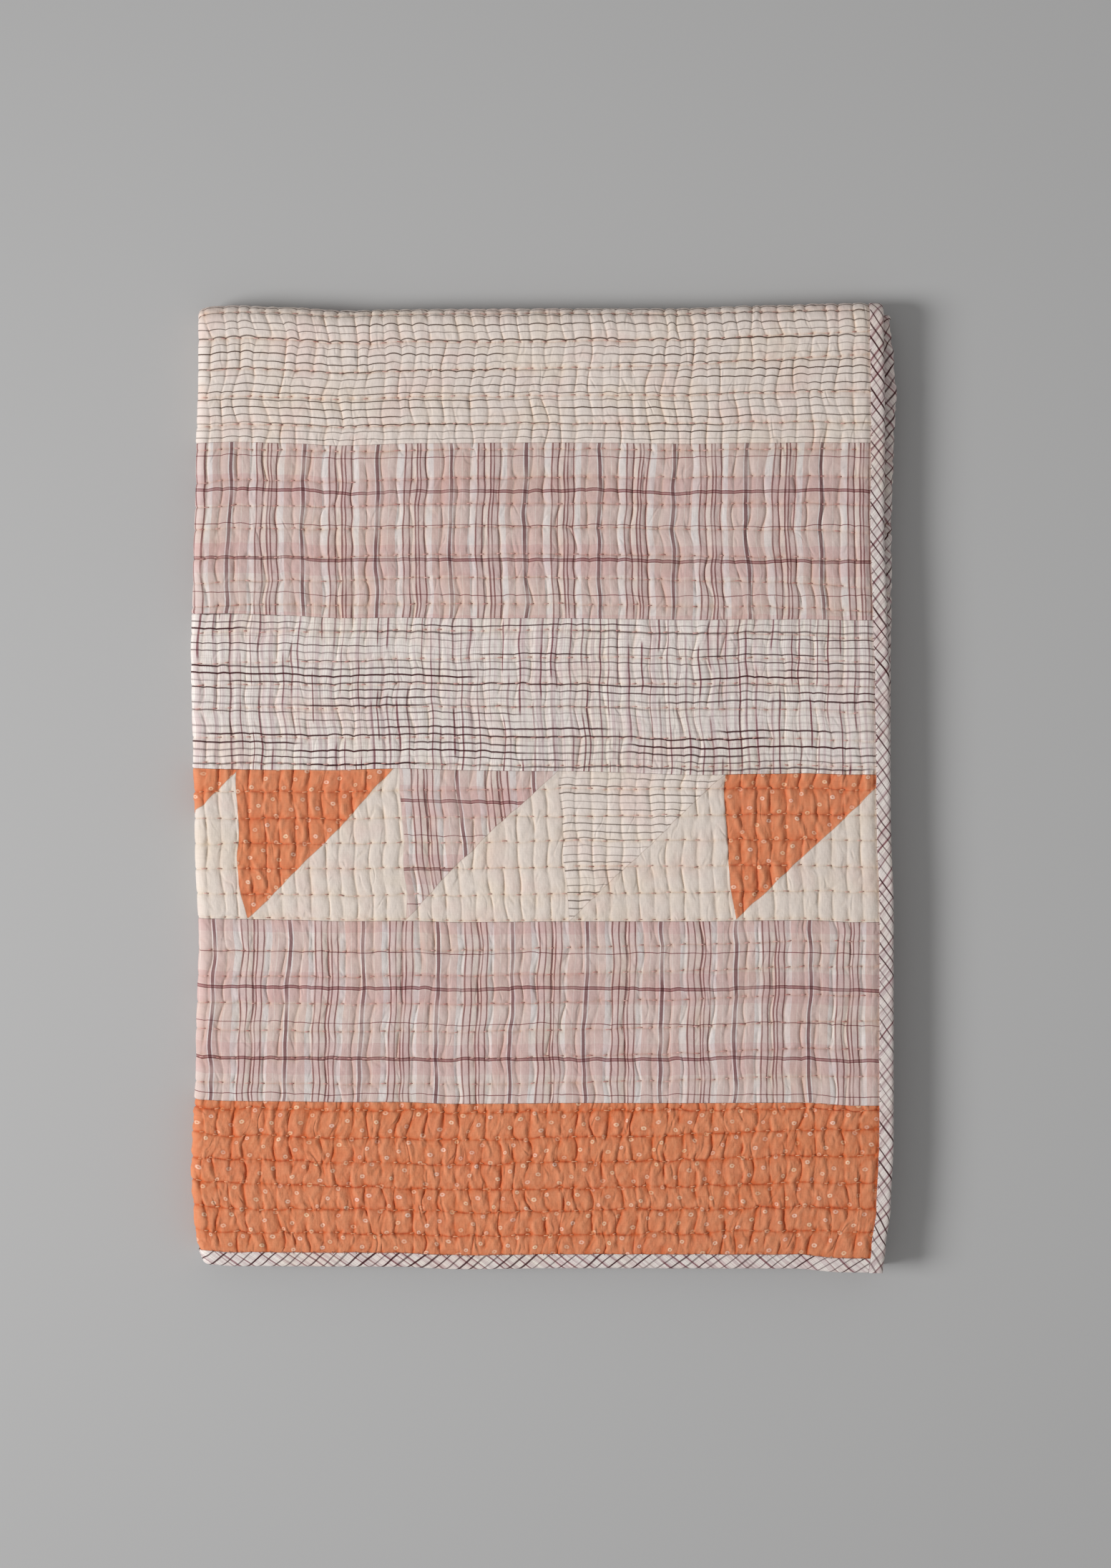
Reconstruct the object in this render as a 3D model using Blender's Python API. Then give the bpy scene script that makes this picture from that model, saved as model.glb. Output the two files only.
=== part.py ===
"""A hand-quilted ralli quilt, folded in quarters and lying flat on its own underside.

The cloth is one quilted layer with a bias binding round its four edges. It is described as if it
lay open, by a point (across, along) on it and a lift off its middle surface, positive towards the
patchwork. folded() carries that point to its place in the pile: the quilt is doubled across its
width, then that double layer is turned over on itself along its length. So the pile has four
layers, and the patchwork faces up, down and round both folds.

Metres, +Z up, +Y towards the rounded fold, -X towards the doubled edge. The origin lies under the
middle of the pile, on the surface that carries it.
"""

from typing import Callable, NamedTuple

import bmesh
import bpy
import numpy as np

# The pile, as it lies
PILE_WIDTH = 0.652  # from the doubled edge to the bound edges
PILE_LENGTH = 0.900  # from the open end to the rounded fold
LAYER = 0.0076  # loft of one quilted layer between two rows of stitches
LAYER_GAP = 0.0026  # air between two layers

# Quilting
ROW_DEPTH = 0.0024  # how far a row pulls the patchwork in
SHOULDER = 0.28  # where a channel reaches its full loft, as a share of its breadth
# Distances of the rows of running stitch from the end of the cloth; the other half mirrors them
ROWS = (
    0.0338, 0.0561, 0.0785, 0.1022, 0.1257, 0.1489, 0.1755, 0.2002, 0.2254, 0.2507, 0.2769, 0.3008,
    0.3266, 0.3507, 0.3750, 0.3989, 0.4222, 0.4471, 0.4710, 0.4954, 0.5229, 0.5455, 0.5682, 0.5937,
    0.6187, 0.6418, 0.6648, 0.6906, 0.7134, 0.7378, 0.7648, 0.7887, 0.8158, 0.8435, 0.8687, 0.8923,
)  # fmt: skip

# Binding: bias strips folded over the edge
BINDING_WIDTH = 0.0133
BINDING_CLOTH = 0.0010  # the strip is two cloths thick
BOUND_HALF = 0.0033  # half the thickness of the finished edge
CLEARANCE = 0.0003  # between two pieces

# How closely the surfaces are divided
SIDE_FOLD_STEPS = 6
LENGTH_FOLD_STEPS = 8
OUTER_STEPS = 7  # across a layer that shows
INNER_STEPS = 3  # across a layer that doesn't
FLAT_PHASES = (0.0, SHOULDER, 1.0 - SHOULDER)  # divisions of a channel
FOLD_PHASES = (0.0, 0.14, 0.28, 0.5, 0.72, 0.86)  # those of the three channels round the fold

# Worked out from those
INNER_HEIGHT = (LAYER + LAYER_GAP) / 2  # middle of the inner layers, from the mid-plane of the pile
OUTER_HEIGHT = INNER_HEIGHT + LAYER + LAYER_GAP
HALF_PILE = OUTER_HEIGHT + LAYER / 2
SIDE_RADIUS = (OUTER_HEIGHT - INNER_HEIGHT) / 2
SIDE_CENTRE_X = -PILE_WIDTH / 2 + SIDE_RADIUS + LAYER / 2
FOLD_CENTRE_Y = PILE_LENGTH / 2 - HALF_PILE
RUN_ACROSS = PILE_WIDTH / 2 - SIDE_CENTRE_X  # flat part of each layer, to the bound edge
RUN_ALONG = PILE_LENGTH / 2 + FOLD_CENTRE_Y
CLOTH_WIDTH = 2 * RUN_ACROSS + np.pi * SIDE_RADIUS
CLOTH_LENGTH = 2 * RUN_ALONG + np.pi * OUTER_HEIGHT
EDGE_IN = BINDING_CLOTH + 2 * CLEARANCE  # edge of the quilted cloth, inside the binding's fold
EDGE_OUT = BINDING_WIDTH + CLEARANCE  # where the cloth comes out from under the binding
EDGE_FULL = 0.0180  # where it reaches its full loft
EDGE_HALF = BOUND_HALF - BINDING_CLOTH - CLEARANCE  # half the cloth's thickness under the binding


class Shift(NamedTuple):
    """How far an outline lies off its straight line, at one place along it."""

    at: float
    by: float


# The doubled edge wanders in and out; at is y and by is along +X
DOUBLED_EDGE = (
    Shift(-0.450, 0.0070), Shift(-0.435, 0.0028), Shift(-0.410, -0.0015), Shift(-0.370, -0.0036),
    Shift(-0.250, 0.0006), Shift(-0.150, 0.0033), Shift(-0.050, -0.0002), Shift(0.030, -0.0024),
    Shift(0.127, -0.0041), Shift(0.200, -0.0016), Shift(0.300, 0.0008), Shift(0.400, 0.0028),
    Shift(0.450, 0.0034),
)  # fmt: skip
# Bound long edge of the top layer; at is y and by is along +X
TOP_EDGE = (
    Shift(-0.450, -0.0088), Shift(-0.426, -0.0061), Shift(-0.390, -0.0015), Shift(-0.330, 0.0012),
    Shift(-0.110, 0.0012), Shift(-0.030, -0.0015), Shift(0.100, -0.0028), Shift(0.155, -0.0048),
    Shift(0.240, -0.0075), Shift(0.330, -0.0068), Shift(0.450, -0.0081),
)  # fmt: skip
# Bound long edges of the two layers inside the fold: they show beside the top one near the fold
INSIDE_EDGE = (
    Shift(-0.450, -0.0095), Shift(-0.390, -0.0030), Shift(-0.200, -0.0010), Shift(0.050, -0.0008),
    Shift(0.240, -0.0006), Shift(0.313, 0.0012), Shift(0.367, 0.0038), Shift(0.400, 0.0014),
    Shift(0.420, -0.0012), Shift(0.450, -0.0030),
)  # fmt: skip
# Bound long edge of the layer that lies on the surface
UNDER_EDGE = (
    Shift(-0.450, -0.0070), Shift(-0.380, -0.0020), Shift(-0.150, -0.0026), Shift(0.100, -0.0014),
    Shift(0.280, -0.0004), Shift(0.380, -0.0036), Shift(0.450, -0.0081),
)  # fmt: skip
# Rounded fold and open end; at is x and by is along +Y
ROUNDED_FOLD = (
    Shift(-0.326, 0.0004), Shift(-0.290, 0.0020), Shift(-0.240, 0.0000), Shift(-0.190, -0.0031),
    Shift(-0.100, -0.0012), Shift(0.130, -0.0009), Shift(0.210, 0.0020), Shift(0.270, 0.0040),
    Shift(0.326, 0.0046),
)  # fmt: skip
OPEN_END = (
    Shift(-0.326, 0.0040), Shift(-0.290, 0.0022), Shift(-0.140, 0.0018), Shift(-0.080, -0.0006),
    Shift(0.030, 0.0004), Shift(0.240, 0.0001), Shift(0.290, -0.0036), Shift(0.326, -0.0040),
)  # fmt: skip
# How far the open end of each lower layer lies back from the top one's
INSIDE_BACK = 0.0022
UNDER_BACK = 0.0034
SLUMP = 0.065  # share of its height that the upper half loses towards the open end
WAVE = 0.022  # share of its height by which the upper half rises and falls
WAVE_ACROSS = 0.330  # lengths of those waves
WAVE_ALONG = 0.410


class Band(NamedTuple):
    """A strip of one fabric in the patchwork, from start to end along the cloth."""

    fabric: str
    start: float
    end: float


BANDS = (
    Band("orange_dot", 0.0000, 0.1572),
    Band("plaid", 0.1572, 0.3270),
    Band("cream", 0.3270, 0.4675),
    Band("check", 0.4675, 0.6120),
    Band("plaid", 0.6120, 0.7720),
    Band("stripe", 0.7720, CLOTH_LENGTH),
)
FABRIC_COLOURS = {
    "orange_dot": (0.61, 0.20, 0.08),
    "plaid": (0.52, 0.39, 0.35),
    "cream": (0.70, 0.62, 0.52),
    "check": (0.60, 0.52, 0.49),
    "stripe": (0.63, 0.54, 0.47),
    "binding": (0.56, 0.48, 0.45),
}
FABRIC_ROUGHNESS = 0.92


def smooth(share: np.ndarray) -> np.ndarray:
    """A share from 0 to 1, eased in and out."""
    kept = np.clip(share, 0.0, 1.0)
    return kept * kept * (3.0 - 2.0 * kept)


def shift_at(table: tuple[Shift, ...], place: np.ndarray) -> np.ndarray:
    """The outline's shift at each place, eased between the rows of its table."""
    at = np.array([row.at for row in table])
    by = np.array([row.by for row in table])
    after = np.clip(np.searchsorted(at, place), 1, len(at) - 1)
    share = smooth((place - at[after - 1]) / (at[after] - at[after - 1]))
    return by[after - 1] + share * (by[after] - by[after - 1])


def section(across: np.ndarray, lift: np.ndarray) -> tuple[np.ndarray, np.ndarray, np.ndarray]:
    """Doubles the cloth across its width.

    Args:
        across: distance over the cloth, from the bound edge of the inner layer.
        lift: distance off the middle surface, towards the patchwork.

    Returns:
        x, the height off the mid-plane of the whole pile, and a share that is 0 in the inner
        layer and 1 in the outer one.
    """
    bend = np.clip((across - RUN_ACROSS) / SIDE_RADIUS, 0.0, np.pi)
    inner = np.clip(RUN_ACROSS - across, 0.0, None)
    outer = np.clip(across - (CLOTH_WIDTH - RUN_ACROSS), 0.0, None)
    radius = SIDE_RADIUS + lift
    x = SIDE_CENTRE_X - radius * np.sin(bend) + inner + outer
    height = (INNER_HEIGHT + OUTER_HEIGHT) / 2 - radius * np.cos(bend)
    return x, height, smooth(bend / np.pi)


def folded(across: np.ndarray, along: np.ndarray, lift: np.ndarray) -> np.ndarray:
    """Where points of the open cloth lie in the folded pile, one row of x, y and z for each."""
    x, height, outside = section(across, lift)
    turn = np.clip((along - RUN_ALONG) / OUTER_HEIGHT, 0.0, np.pi)
    upper = np.clip(RUN_ALONG - along, 0.0, None)
    lower = np.clip(along - (CLOTH_LENGTH - RUN_ALONG), 0.0, None)
    straight_y = FOLD_CENTRE_Y - upper - lower
    under = smooth(turn / np.pi)  # 0 in the upper half of the pile, 1 in the lower

    top_edge = shift_at(TOP_EDGE, straight_y)
    outer_edge = top_edge + under * (shift_at(UNDER_EDGE, straight_y) - top_edge)
    bound_edge = outer_edge + (1 - outside) * (shift_at(INSIDE_EDGE, straight_y) - outer_edge)
    doubled = shift_at(DOUBLED_EDGE, straight_y) * (1 - 0.5 * under)
    share_x = np.clip(x / PILE_WIDTH + 0.5, 0.0, 1.0)
    shifted_x = x + doubled + share_x * (bound_edge - doubled)

    share_y = np.clip(straight_y / PILE_LENGTH + 0.5, 0.0, 1.0)
    back = INSIDE_BACK * (1 - outside) + UNDER_BACK * under * outside
    open_end = shift_at(OPEN_END, x) + back
    end_shift = open_end + share_y * (shift_at(ROUNDED_FOLD, x) - open_end)

    wave = np.sin(2 * np.pi * x / WAVE_ACROSS + 0.7) * np.sin(2 * np.pi * straight_y / WAVE_ALONG)
    swell = 1 + (1 - under) * (WAVE * wave - SLUMP * (1 - share_y) ** 2)
    y = straight_y + end_shift + height * np.sin(turn)
    z = HALF_PILE + height * swell * np.cos(turn)
    return np.stack([shifted_x, y, z], axis=-1)


def stitch_rows() -> np.ndarray:
    """Places along the cloth of the rows of running stitch."""
    upper = np.array(ROWS)
    return np.concatenate([upper, CLOTH_LENGTH - upper[::-1]])


def edge_loft(from_edge: np.ndarray) -> np.ndarray:
    """Half the cloth's thickness at a distance from its bound edge."""
    return np.interp(from_edge, (EDGE_IN, EDGE_OUT, EDGE_FULL), (EDGE_HALF, EDGE_HALF, LAYER / 2))


def row_sink(along: np.ndarray) -> np.ndarray:
    """How far the stitches pull the patchwork in, from nothing to ROW_DEPTH."""
    rows = stitch_rows()
    after = np.clip(np.searchsorted(rows, along), 1, len(rows) - 1)
    breadth = rows[after] - rows[after - 1]
    from_row = np.minimum(np.abs(along - rows[after - 1]), np.abs(rows[after] - along)) / breadth
    return ROW_DEPTH * np.clip(1 - from_row / SHOULDER, 0.0, 1.0)


def loft(across: np.ndarray, along: np.ndarray, quilted: bool) -> np.ndarray:
    """Height of a face of the cloth off its middle surface, with its rows if quilted."""
    from_side = np.minimum(across, CLOTH_WIDTH - across)
    from_end = np.minimum(along, CLOTH_LENGTH - along)
    full = np.full_like(along, LAYER / 2) - (row_sink(along) if quilted else 0.0)
    return np.minimum(full, np.minimum(edge_loft(from_side), edge_loft(from_end)))


def across_stations() -> tuple[np.ndarray, int, int]:
    """Places across the cloth where its faces are divided.

    Returns:
        The places, and the first and last of those that show in the pile, where rows are raised.
    """
    inner = np.linspace(EDGE_FULL, RUN_ACROSS, INNER_STEPS + 1)
    outer_start = CLOTH_WIDTH - RUN_ACROSS
    bend = np.linspace(RUN_ACROSS, outer_start, SIDE_FOLD_STEPS + 1)
    outer = np.linspace(outer_start, CLOTH_WIDTH - EDGE_FULL, OUTER_STEPS + 1)
    places = np.concatenate(
        [
            [EDGE_IN, EDGE_OUT],
            inner,
            bend[1:],
            outer[1:],
            [CLOTH_WIDTH - EDGE_OUT, CLOTH_WIDTH - EDGE_IN],
        ]
    )
    first = 2 + INNER_STEPS
    return places, first, first + SIDE_FOLD_STEPS + OUTER_STEPS


def with_edges(inside: np.ndarray) -> np.ndarray:
    """Places along the cloth with those at its two bound ends added."""
    start = np.array([EDGE_IN, EDGE_OUT, EDGE_FULL])
    return np.concatenate([start, inside, CLOTH_LENGTH - start[::-1]])


def plain_stations() -> np.ndarray:
    """Places along the cloth for its hidden faces and its binding: every second row, and the fold."""
    before = np.array(ROWS[:-1:2])
    fold = np.linspace(RUN_ALONG, CLOTH_LENGTH - RUN_ALONG, LENGTH_FOLD_STEPS + 1)
    return with_edges(np.concatenate([before, fold, CLOTH_LENGTH - before[::-1]]))


def quilted_stations() -> np.ndarray:
    """Places along the cloth for its quilted face: each row, and the shoulders of each channel."""
    places = []
    rows = stitch_rows()
    for row, next_row in zip(rows, rows[1:]):
        on_fold = next_row > RUN_ALONG and row < CLOTH_LENGTH - RUN_ALONG
        phases = FOLD_PHASES if on_fold else FLAT_PHASES
        places.extend(row + (next_row - row) * phase for phase in phases)
    places.append(rows[-1])
    return with_edges(np.array(places))


class Mesh:
    """A bmesh that is filled by points of the open cloth and becomes one object."""

    def __init__(self) -> None:
        """Starts empty."""
        self.bm = bmesh.new()

    def points(self, across: np.ndarray, along: np.ndarray, lift: np.ndarray) -> list:
        """Adds points of the open cloth, folded, and returns them in order."""
        across, along, lift = np.broadcast_arrays(across, along, lift)
        return [self.bm.verts.new(place) for place in folded(across, along, lift)]

    def faces(self, *corners: list) -> None:
        """Adds a face for each list of points."""
        for points in corners:
            self.bm.faces.new(points)

    def strip(self, first: list, second: list) -> None:
        """Joins two lines of as many points with a strip of faces."""
        for i in range(len(first) - 1):
            self.bm.faces.new((first[i], first[i + 1], second[i + 1], second[i]))

    def zipped(self, first: list, second: list, first_at: np.ndarray, second_at: np.ndarray) -> None:
        """Joins two lines whose points lie at different places, with triangles."""
        i = j = 0
        while i < len(first) - 1 or j < len(second) - 1:
            first_done = i == len(first) - 1
            if not first_done and (j == len(second) - 1 or first_at[i + 1] <= second_at[j + 1]):
                self.bm.faces.new((first[i], first[i + 1], second[j]))
                i += 1
            else:
                self.bm.faces.new((first[i], second[j + 1], second[j]))
                j += 1

    def finish(self, name: str, materials: list, pick: Callable | None = None) -> bpy.types.Object:
        """Turns the faces outwards and makes the object.

        Args:
            name: the object's name.
            materials: the object's materials.
            pick: gives a face's material from its middle, where there is more than one.

        Returns:
            The object, linked to the scene.
        """
        bmesh.ops.recalc_face_normals(self.bm, faces=self.bm.faces)
        if pick:
            for face in self.bm.faces:
                face.material_index = pick(face.calc_center_median())
        mesh = bpy.data.meshes.new(name)
        self.bm.to_mesh(mesh)
        self.bm.free()
        for material in materials:
            mesh.materials.append(material)
        mesh.shade_smooth()
        mesh.set_sharp_from_angle(angle=np.radians(50))
        made = bpy.data.objects.new(name, mesh)
        bpy.context.scene.collection.objects.link(made)
        return made


def fabric(name: str) -> bpy.types.Material:
    """A plain cotton of the named colour."""
    material = bpy.data.materials.new(name)
    material.use_nodes = True
    shader = material.node_tree.nodes["Principled BSDF"]
    shader.inputs["Base Color"].default_value = (*FABRIC_COLOURS[name], 1.0)
    shader.inputs["Roughness"].default_value = FABRIC_ROUGHNESS
    shader.inputs["Metallic"].default_value = 0.0
    return material


def band_at(place: object) -> int:
    """Index of the fabric at a place of the pile, by how far up the length it lies."""
    along = min(max(place.y + PILE_LENGTH / 2, 0.0), RUN_ALONG)
    fabrics = list(FABRIC_COLOURS)
    return next(fabrics.index(b.fabric) for b in BANDS if b.start <= along <= b.end)


def quilted_cloth() -> None:
    """The patchwork, wadding and backing, sewn into one cloth and folded in quarters."""
    made = Mesh()
    places, first, last = across_stations()
    plain = plain_stations()
    quilted = quilted_stations()
    patchwork = []
    backing = []
    for column, across in enumerate(places):
        stations = quilted if first <= column <= last else plain
        lift = loft(across, stations, first <= column <= last)
        patchwork.append((made.points(across, stations, lift), stations))
        backing.append(made.points(across, plain, -loft(across, plain, False)))
    for (line, at), (next_line, next_at) in zip(patchwork, patchwork[1:]):
        if len(at) == len(next_at):
            made.strip(line, next_line)
        else:
            made.zipped(line, next_line, at, next_at)
    for line, next_line in zip(backing, backing[1:]):
        made.strip(line, next_line)
    made.strip(patchwork[0][0], backing[0])
    made.strip(patchwork[-1][0], backing[-1])
    for end in (0, -1):
        made.strip([line[end] for line, _ in patchwork], [line[end] for line in backing])
    made.finish("quilt_body", [fabric(name) for name in FABRIC_COLOURS], band_at)


# Section of the binding, as (distance in from the edge, lift): outside first, then the fold's inside
WRAP_OUTSIDE = (
    (BINDING_WIDTH, BOUND_HALF),
    (0.0040, BOUND_HALF),
    (0.0010, 0.8 * BOUND_HALF),
    (0.0, 0.3 * BOUND_HALF),
    (0.0, -0.3 * BOUND_HALF),
    (0.0010, -0.8 * BOUND_HALF),
    (0.0040, -BOUND_HALF),
    (BINDING_WIDTH, -BOUND_HALF),
)
WRAP_INSIDE = (
    (BINDING_WIDTH, -(BOUND_HALF - BINDING_CLOTH)),
    (EDGE_IN - CLEARANCE, -(BOUND_HALF - BINDING_CLOTH)),
    (EDGE_IN - CLEARANCE, BOUND_HALF - BINDING_CLOTH),
    (BINDING_WIDTH, BOUND_HALF - BINDING_CLOTH),
)
WRAP_END = ((0, 1, 10, 11), (1, 2, 10), (2, 3, 10), (3, 4, 9, 10), (4, 5, 9), (5, 6, 9), (6, 7, 8, 9))


def binding(name: str, runs: np.ndarray, to_cloth: Callable, closed: bool) -> None:
    """One strip of the binding, wrapped over an edge of the cloth.

    Args:
        name: the object's name.
        runs: places of its sections along the edge, first to last.
        to_cloth: gives (across, along) from a distance in from the edge and a place along it.
        closed: whether its two ends are folded in, as at a corner, or meet the next strip.
    """
    made = Mesh()
    wrap = np.array(WRAP_OUTSIDE + WRAP_INSIDE)
    lines = []
    for inward, lift in wrap:
        across, along = to_cloth(inward, runs)
        lines.append(made.points(across, along, lift))
    count = len(WRAP_OUTSIDE)
    for line, next_line in zip(lines, lines[1:] + lines[:1]):
        made.strip(line, next_line)
    for end, cap_at in ((0, 0.0), (-1, runs[0] + runs[-1])):
        if not closed:
            made.faces(*([lines[i][end] for i in face] for face in WRAP_END))
            continue
        across, along = to_cloth(wrap[:count, 0], np.full(count, cap_at))
        cap = made.points(across, along, wrap[:count, 1])
        section_end = [line[end] for line in lines]
        made.strip(cap, section_end[:count])
        made.faces(cap, section_end[count:])
        made.faces([cap[-1], cap[0], section_end[0], section_end[11], section_end[8], section_end[7]])
    made.finish(name, [fabric("binding")])


def long_bindings() -> None:
    """The strips on the two long edges, which turn over the rounded fold and close the corners."""
    places = plain_stations()
    places[0] -= CLEARANCE
    places[-1] += CLEARANCE
    binding("binding_long_outer", places, lambda inward, run: (CLOTH_WIDTH - inward, run), True)
    binding("binding_long_inner", places, lambda inward, run: (inward, run), True)


def short_bindings() -> None:
    """The strips on the two short edges, which turn round the doubled edge."""
    places = across_stations()[0][1:-1]
    binding("binding_short_upper", places, lambda inward, run: (run, inward), False)
    binding(
        "binding_short_under", places, lambda inward, run: (run, CLOTH_LENGTH - inward), False
    )


def main() -> None:
    """Clears the scene and builds the quilt."""
    for old in list(bpy.data.objects):
        bpy.data.objects.remove(old, do_unlink=True)
    quilted_cloth()
    long_bindings()
    short_bindings()


main()
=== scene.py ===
"""A hand-quilted ralli quilt that lies folded in quarters: its patchwork, thread and binding.

The open cloth is described by a place (across, along) on it and a lift off its middle surface,
positive towards the patchwork. Pile.folded() carries such a point to its place in the folded
pile, in the same sizes as the solids. Needlework says where the rows of running stitch run and
how they pucker the cloth. Patchwork, Stitching and Binding make the pieces from both. Loom holds
the shader groups, and Cotton and Thread are the finishes.
"""

from __future__ import annotations

import logging
import math
from collections.abc import Callable
from dataclasses import dataclass, field
from enum import Enum
from functools import cached_property, partial
from typing import ClassVar, NamedTuple

import bpy
import numpy as np
from bpy.types import Material, NodeSocket, NodeTree, Object, bpy_prop_collection
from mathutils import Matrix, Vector

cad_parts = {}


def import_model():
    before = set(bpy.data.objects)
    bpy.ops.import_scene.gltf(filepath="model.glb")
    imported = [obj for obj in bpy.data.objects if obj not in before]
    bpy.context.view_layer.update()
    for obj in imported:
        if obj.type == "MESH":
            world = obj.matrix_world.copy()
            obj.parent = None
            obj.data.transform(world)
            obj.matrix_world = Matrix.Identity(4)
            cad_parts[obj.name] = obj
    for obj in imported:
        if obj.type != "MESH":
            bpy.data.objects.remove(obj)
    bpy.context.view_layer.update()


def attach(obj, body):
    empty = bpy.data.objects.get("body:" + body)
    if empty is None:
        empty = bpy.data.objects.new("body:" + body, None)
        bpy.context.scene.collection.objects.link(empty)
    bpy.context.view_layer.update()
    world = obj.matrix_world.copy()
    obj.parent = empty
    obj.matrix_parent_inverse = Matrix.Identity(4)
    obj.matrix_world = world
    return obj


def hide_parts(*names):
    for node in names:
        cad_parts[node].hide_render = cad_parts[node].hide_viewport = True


LOG = logging.getLogger("quilt")
BODY = "root"
MM = 0.001
TENTH = 0.0001  # a tenth of a millimetre, in which the tables count
STORED = "fabric"  # where a mesh keeps three numbers for its finish at each point
DARTS = ("dart_a", "dart_b", "dart_c", "dart_d")  # small creases at a pillow's corners
Array = np.ndarray
Span = tuple[float, float]  # from where to where


def smooth(share: Array) -> Array:
    """A share, held from 0 to 1 and eased in and out."""
    kept = np.clip(share, 0.0, 1.0)
    return kept * kept * (3.0 - 2.0 * kept)


def between(value: Array, start: float, end: float) -> Array:
    """The eased share of the way from start to end, held at both."""
    return smooth((value - start) / (end - start))


class Shift(NamedTuple):
    """How far an outline lies off its straight line at one place."""

    at: float
    by: float


def outline(*rows: tuple[int, int]) -> tuple[Shift, ...]:
    """A table of shifts, written in tenths of a millimetre."""
    return tuple(Shift(at * TENTH, by * TENTH) for at, by in rows)


def shift_at(table: tuple[Shift, ...], place: Array) -> Array:
    """Looks an outline up, eased between the rows of its table.

    Args:
        table: its rows.
        place: places along it.

    Returns:
        Its shift at each place.
    """
    at = np.array([row.at for row in table])
    by = np.array([row.by for row in table])
    after = np.clip(np.searchsorted(at, place), 1, len(at) - 1)
    share = smooth((place - at[after - 1]) / (at[after] - at[after - 1]))
    return by[after - 1] + share * (by[after] - by[after - 1])


@dataclass(frozen=True)
class Pile:
    """How the open cloth lies folded in quarters, in the same sizes as the solids."""

    width: float = 0.652  # of the pile, before its outline strays
    length: float = 0.900
    layer: float = 0.0076  # even thickness of the cloth
    layer_gap: float = 0.0026
    edge_in: float = 0.0016  # edge of the quilted cloth, inside the binding's fold
    edge_out: float = 0.0136  # where the cloth comes out from under the binding
    edge_full: float = 0.0180  # where it reaches its full loft
    edge_rise: float = 0.006  # and over what distance its face may rise on from there
    edge_half: float = 0.0020  # half the cloth's thickness under the binding
    inside_back: float = 0.0022  # how far the inner layers' ends stand back
    under_back: float = 0.0034  # and the lowest layer's end
    under_calm: float = 0.5  # how much less the doubled edge strays underneath
    slump: float = 0.065  # how much lower the pile lies at its open end, as a share
    wave: float = 0.022  # how much its height varies over the rest, with these lengths
    wave_across: float = 0.330
    wave_along: float = 0.410
    wave_phase: float = 0.7
    doubled_edge: tuple[Shift, ...] = outline(
        (-4500, 70), (-4350, 28), (-4100, -15), (-3700, -36), (-2500, 6), (-1500, 33), (-500, -2),
        (300, -24), (1270, -41), (2000, -16), (3000, 8), (4000, 28), (4500, 34),
    )
    top_edge: tuple[Shift, ...] = outline(
        (-4500, -88), (-4260, -61), (-3900, -15), (-3300, 12), (-1100, 12), (-300, -15),
        (1000, -28), (1550, -48), (2400, -75), (3300, -68), (4500, -81),
    )
    inside_edge: tuple[Shift, ...] = outline(
        (-4500, -95), (-3900, -30), (-2000, -10), (500, -8), (2400, -6), (3130, 12), (3670, 38),
        (4000, 14), (4200, -12), (4500, -30),
    )
    under_edge: tuple[Shift, ...] = outline(
        (-4500, -70), (-3800, -20), (-1500, -26), (1000, -14), (2800, -4), (3800, -36), (4500, -81),
    )
    rounded_fold: tuple[Shift, ...] = outline(
        (-3260, 4), (-2900, 20), (-2400, 0), (-1900, -31), (-1000, -12), (1300, -9), (2100, 20),
        (2700, 40), (3260, 46),
    )
    open_end: tuple[Shift, ...] = outline(
        (-3260, 40), (-2900, 22), (-1400, 18), (-800, -6), (300, 4), (2400, 1), (2900, -36),
        (3260, -40),
    )

    @property
    def inner_height(self) -> float:
        """Middle of the inner layers, from the mid-plane of the pile."""
        return (self.layer + self.layer_gap) / 2

    @property
    def outer_height(self) -> float:
        """Middle of the outer layers, from the mid-plane of the pile."""
        return self.inner_height + self.layer + self.layer_gap

    @property
    def half_pile(self) -> float:
        """Half the thickness of the pile."""
        return self.outer_height + self.layer / 2

    @property
    def side_radius(self) -> float:
        """Radius of the doubled edge, at the middle of the cloth."""
        return (self.outer_height - self.inner_height) / 2

    @property
    def side_centre_x(self) -> float:
        """Where the doubled edge turns."""
        return -self.width / 2 + self.side_radius + self.layer / 2

    @property
    def fold_centre_y(self) -> float:
        """Where the rounded fold turns."""
        return self.length / 2 - self.half_pile

    @property
    def middle_station(self) -> float:
        """Place along the cloth of the middle of the rounded fold."""
        return self.cloth_length / 2

    @property
    def run_across(self) -> float:
        """Flat part of each layer across the cloth, to its bound edge."""
        return self.width / 2 - self.side_centre_x

    @property
    def run_along(self) -> float:
        """Flat part of each layer along the cloth, to its bound edge."""
        return self.length / 2 + self.fold_centre_y

    @property
    def cloth_width(self) -> float:
        """Width of the open cloth."""
        return 2 * self.run_across + math.pi * self.side_radius

    @property
    def cloth_length(self) -> float:
        """Length of the open cloth."""
        return 2 * self.run_along + math.pi * self.outer_height

    def folded(self, across: Array, along: Array, lift: Array) -> Array:
        """Carries points of the open cloth to the folded pile.

        Args:
            across: distance over the cloth, from the bound edge of the inner layer.
            along: distance along the cloth, from the bound end of the top layer.
            lift: distance off the middle surface, towards the patchwork.

        Returns:
            The points' places, with x, y and z in the last axis.
        """
        bend = np.clip((across - self.run_across) / self.side_radius, 0.0, np.pi)
        inner = np.clip(self.run_across - across, 0.0, None)
        outer = np.clip(across - (self.cloth_width - self.run_across), 0.0, None)
        radius = self.side_radius + lift
        x = self.side_centre_x - radius * np.sin(bend) + inner + outer
        height = (self.inner_height + self.outer_height) / 2 - radius * np.cos(bend)
        outside = smooth(bend / np.pi)

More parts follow.
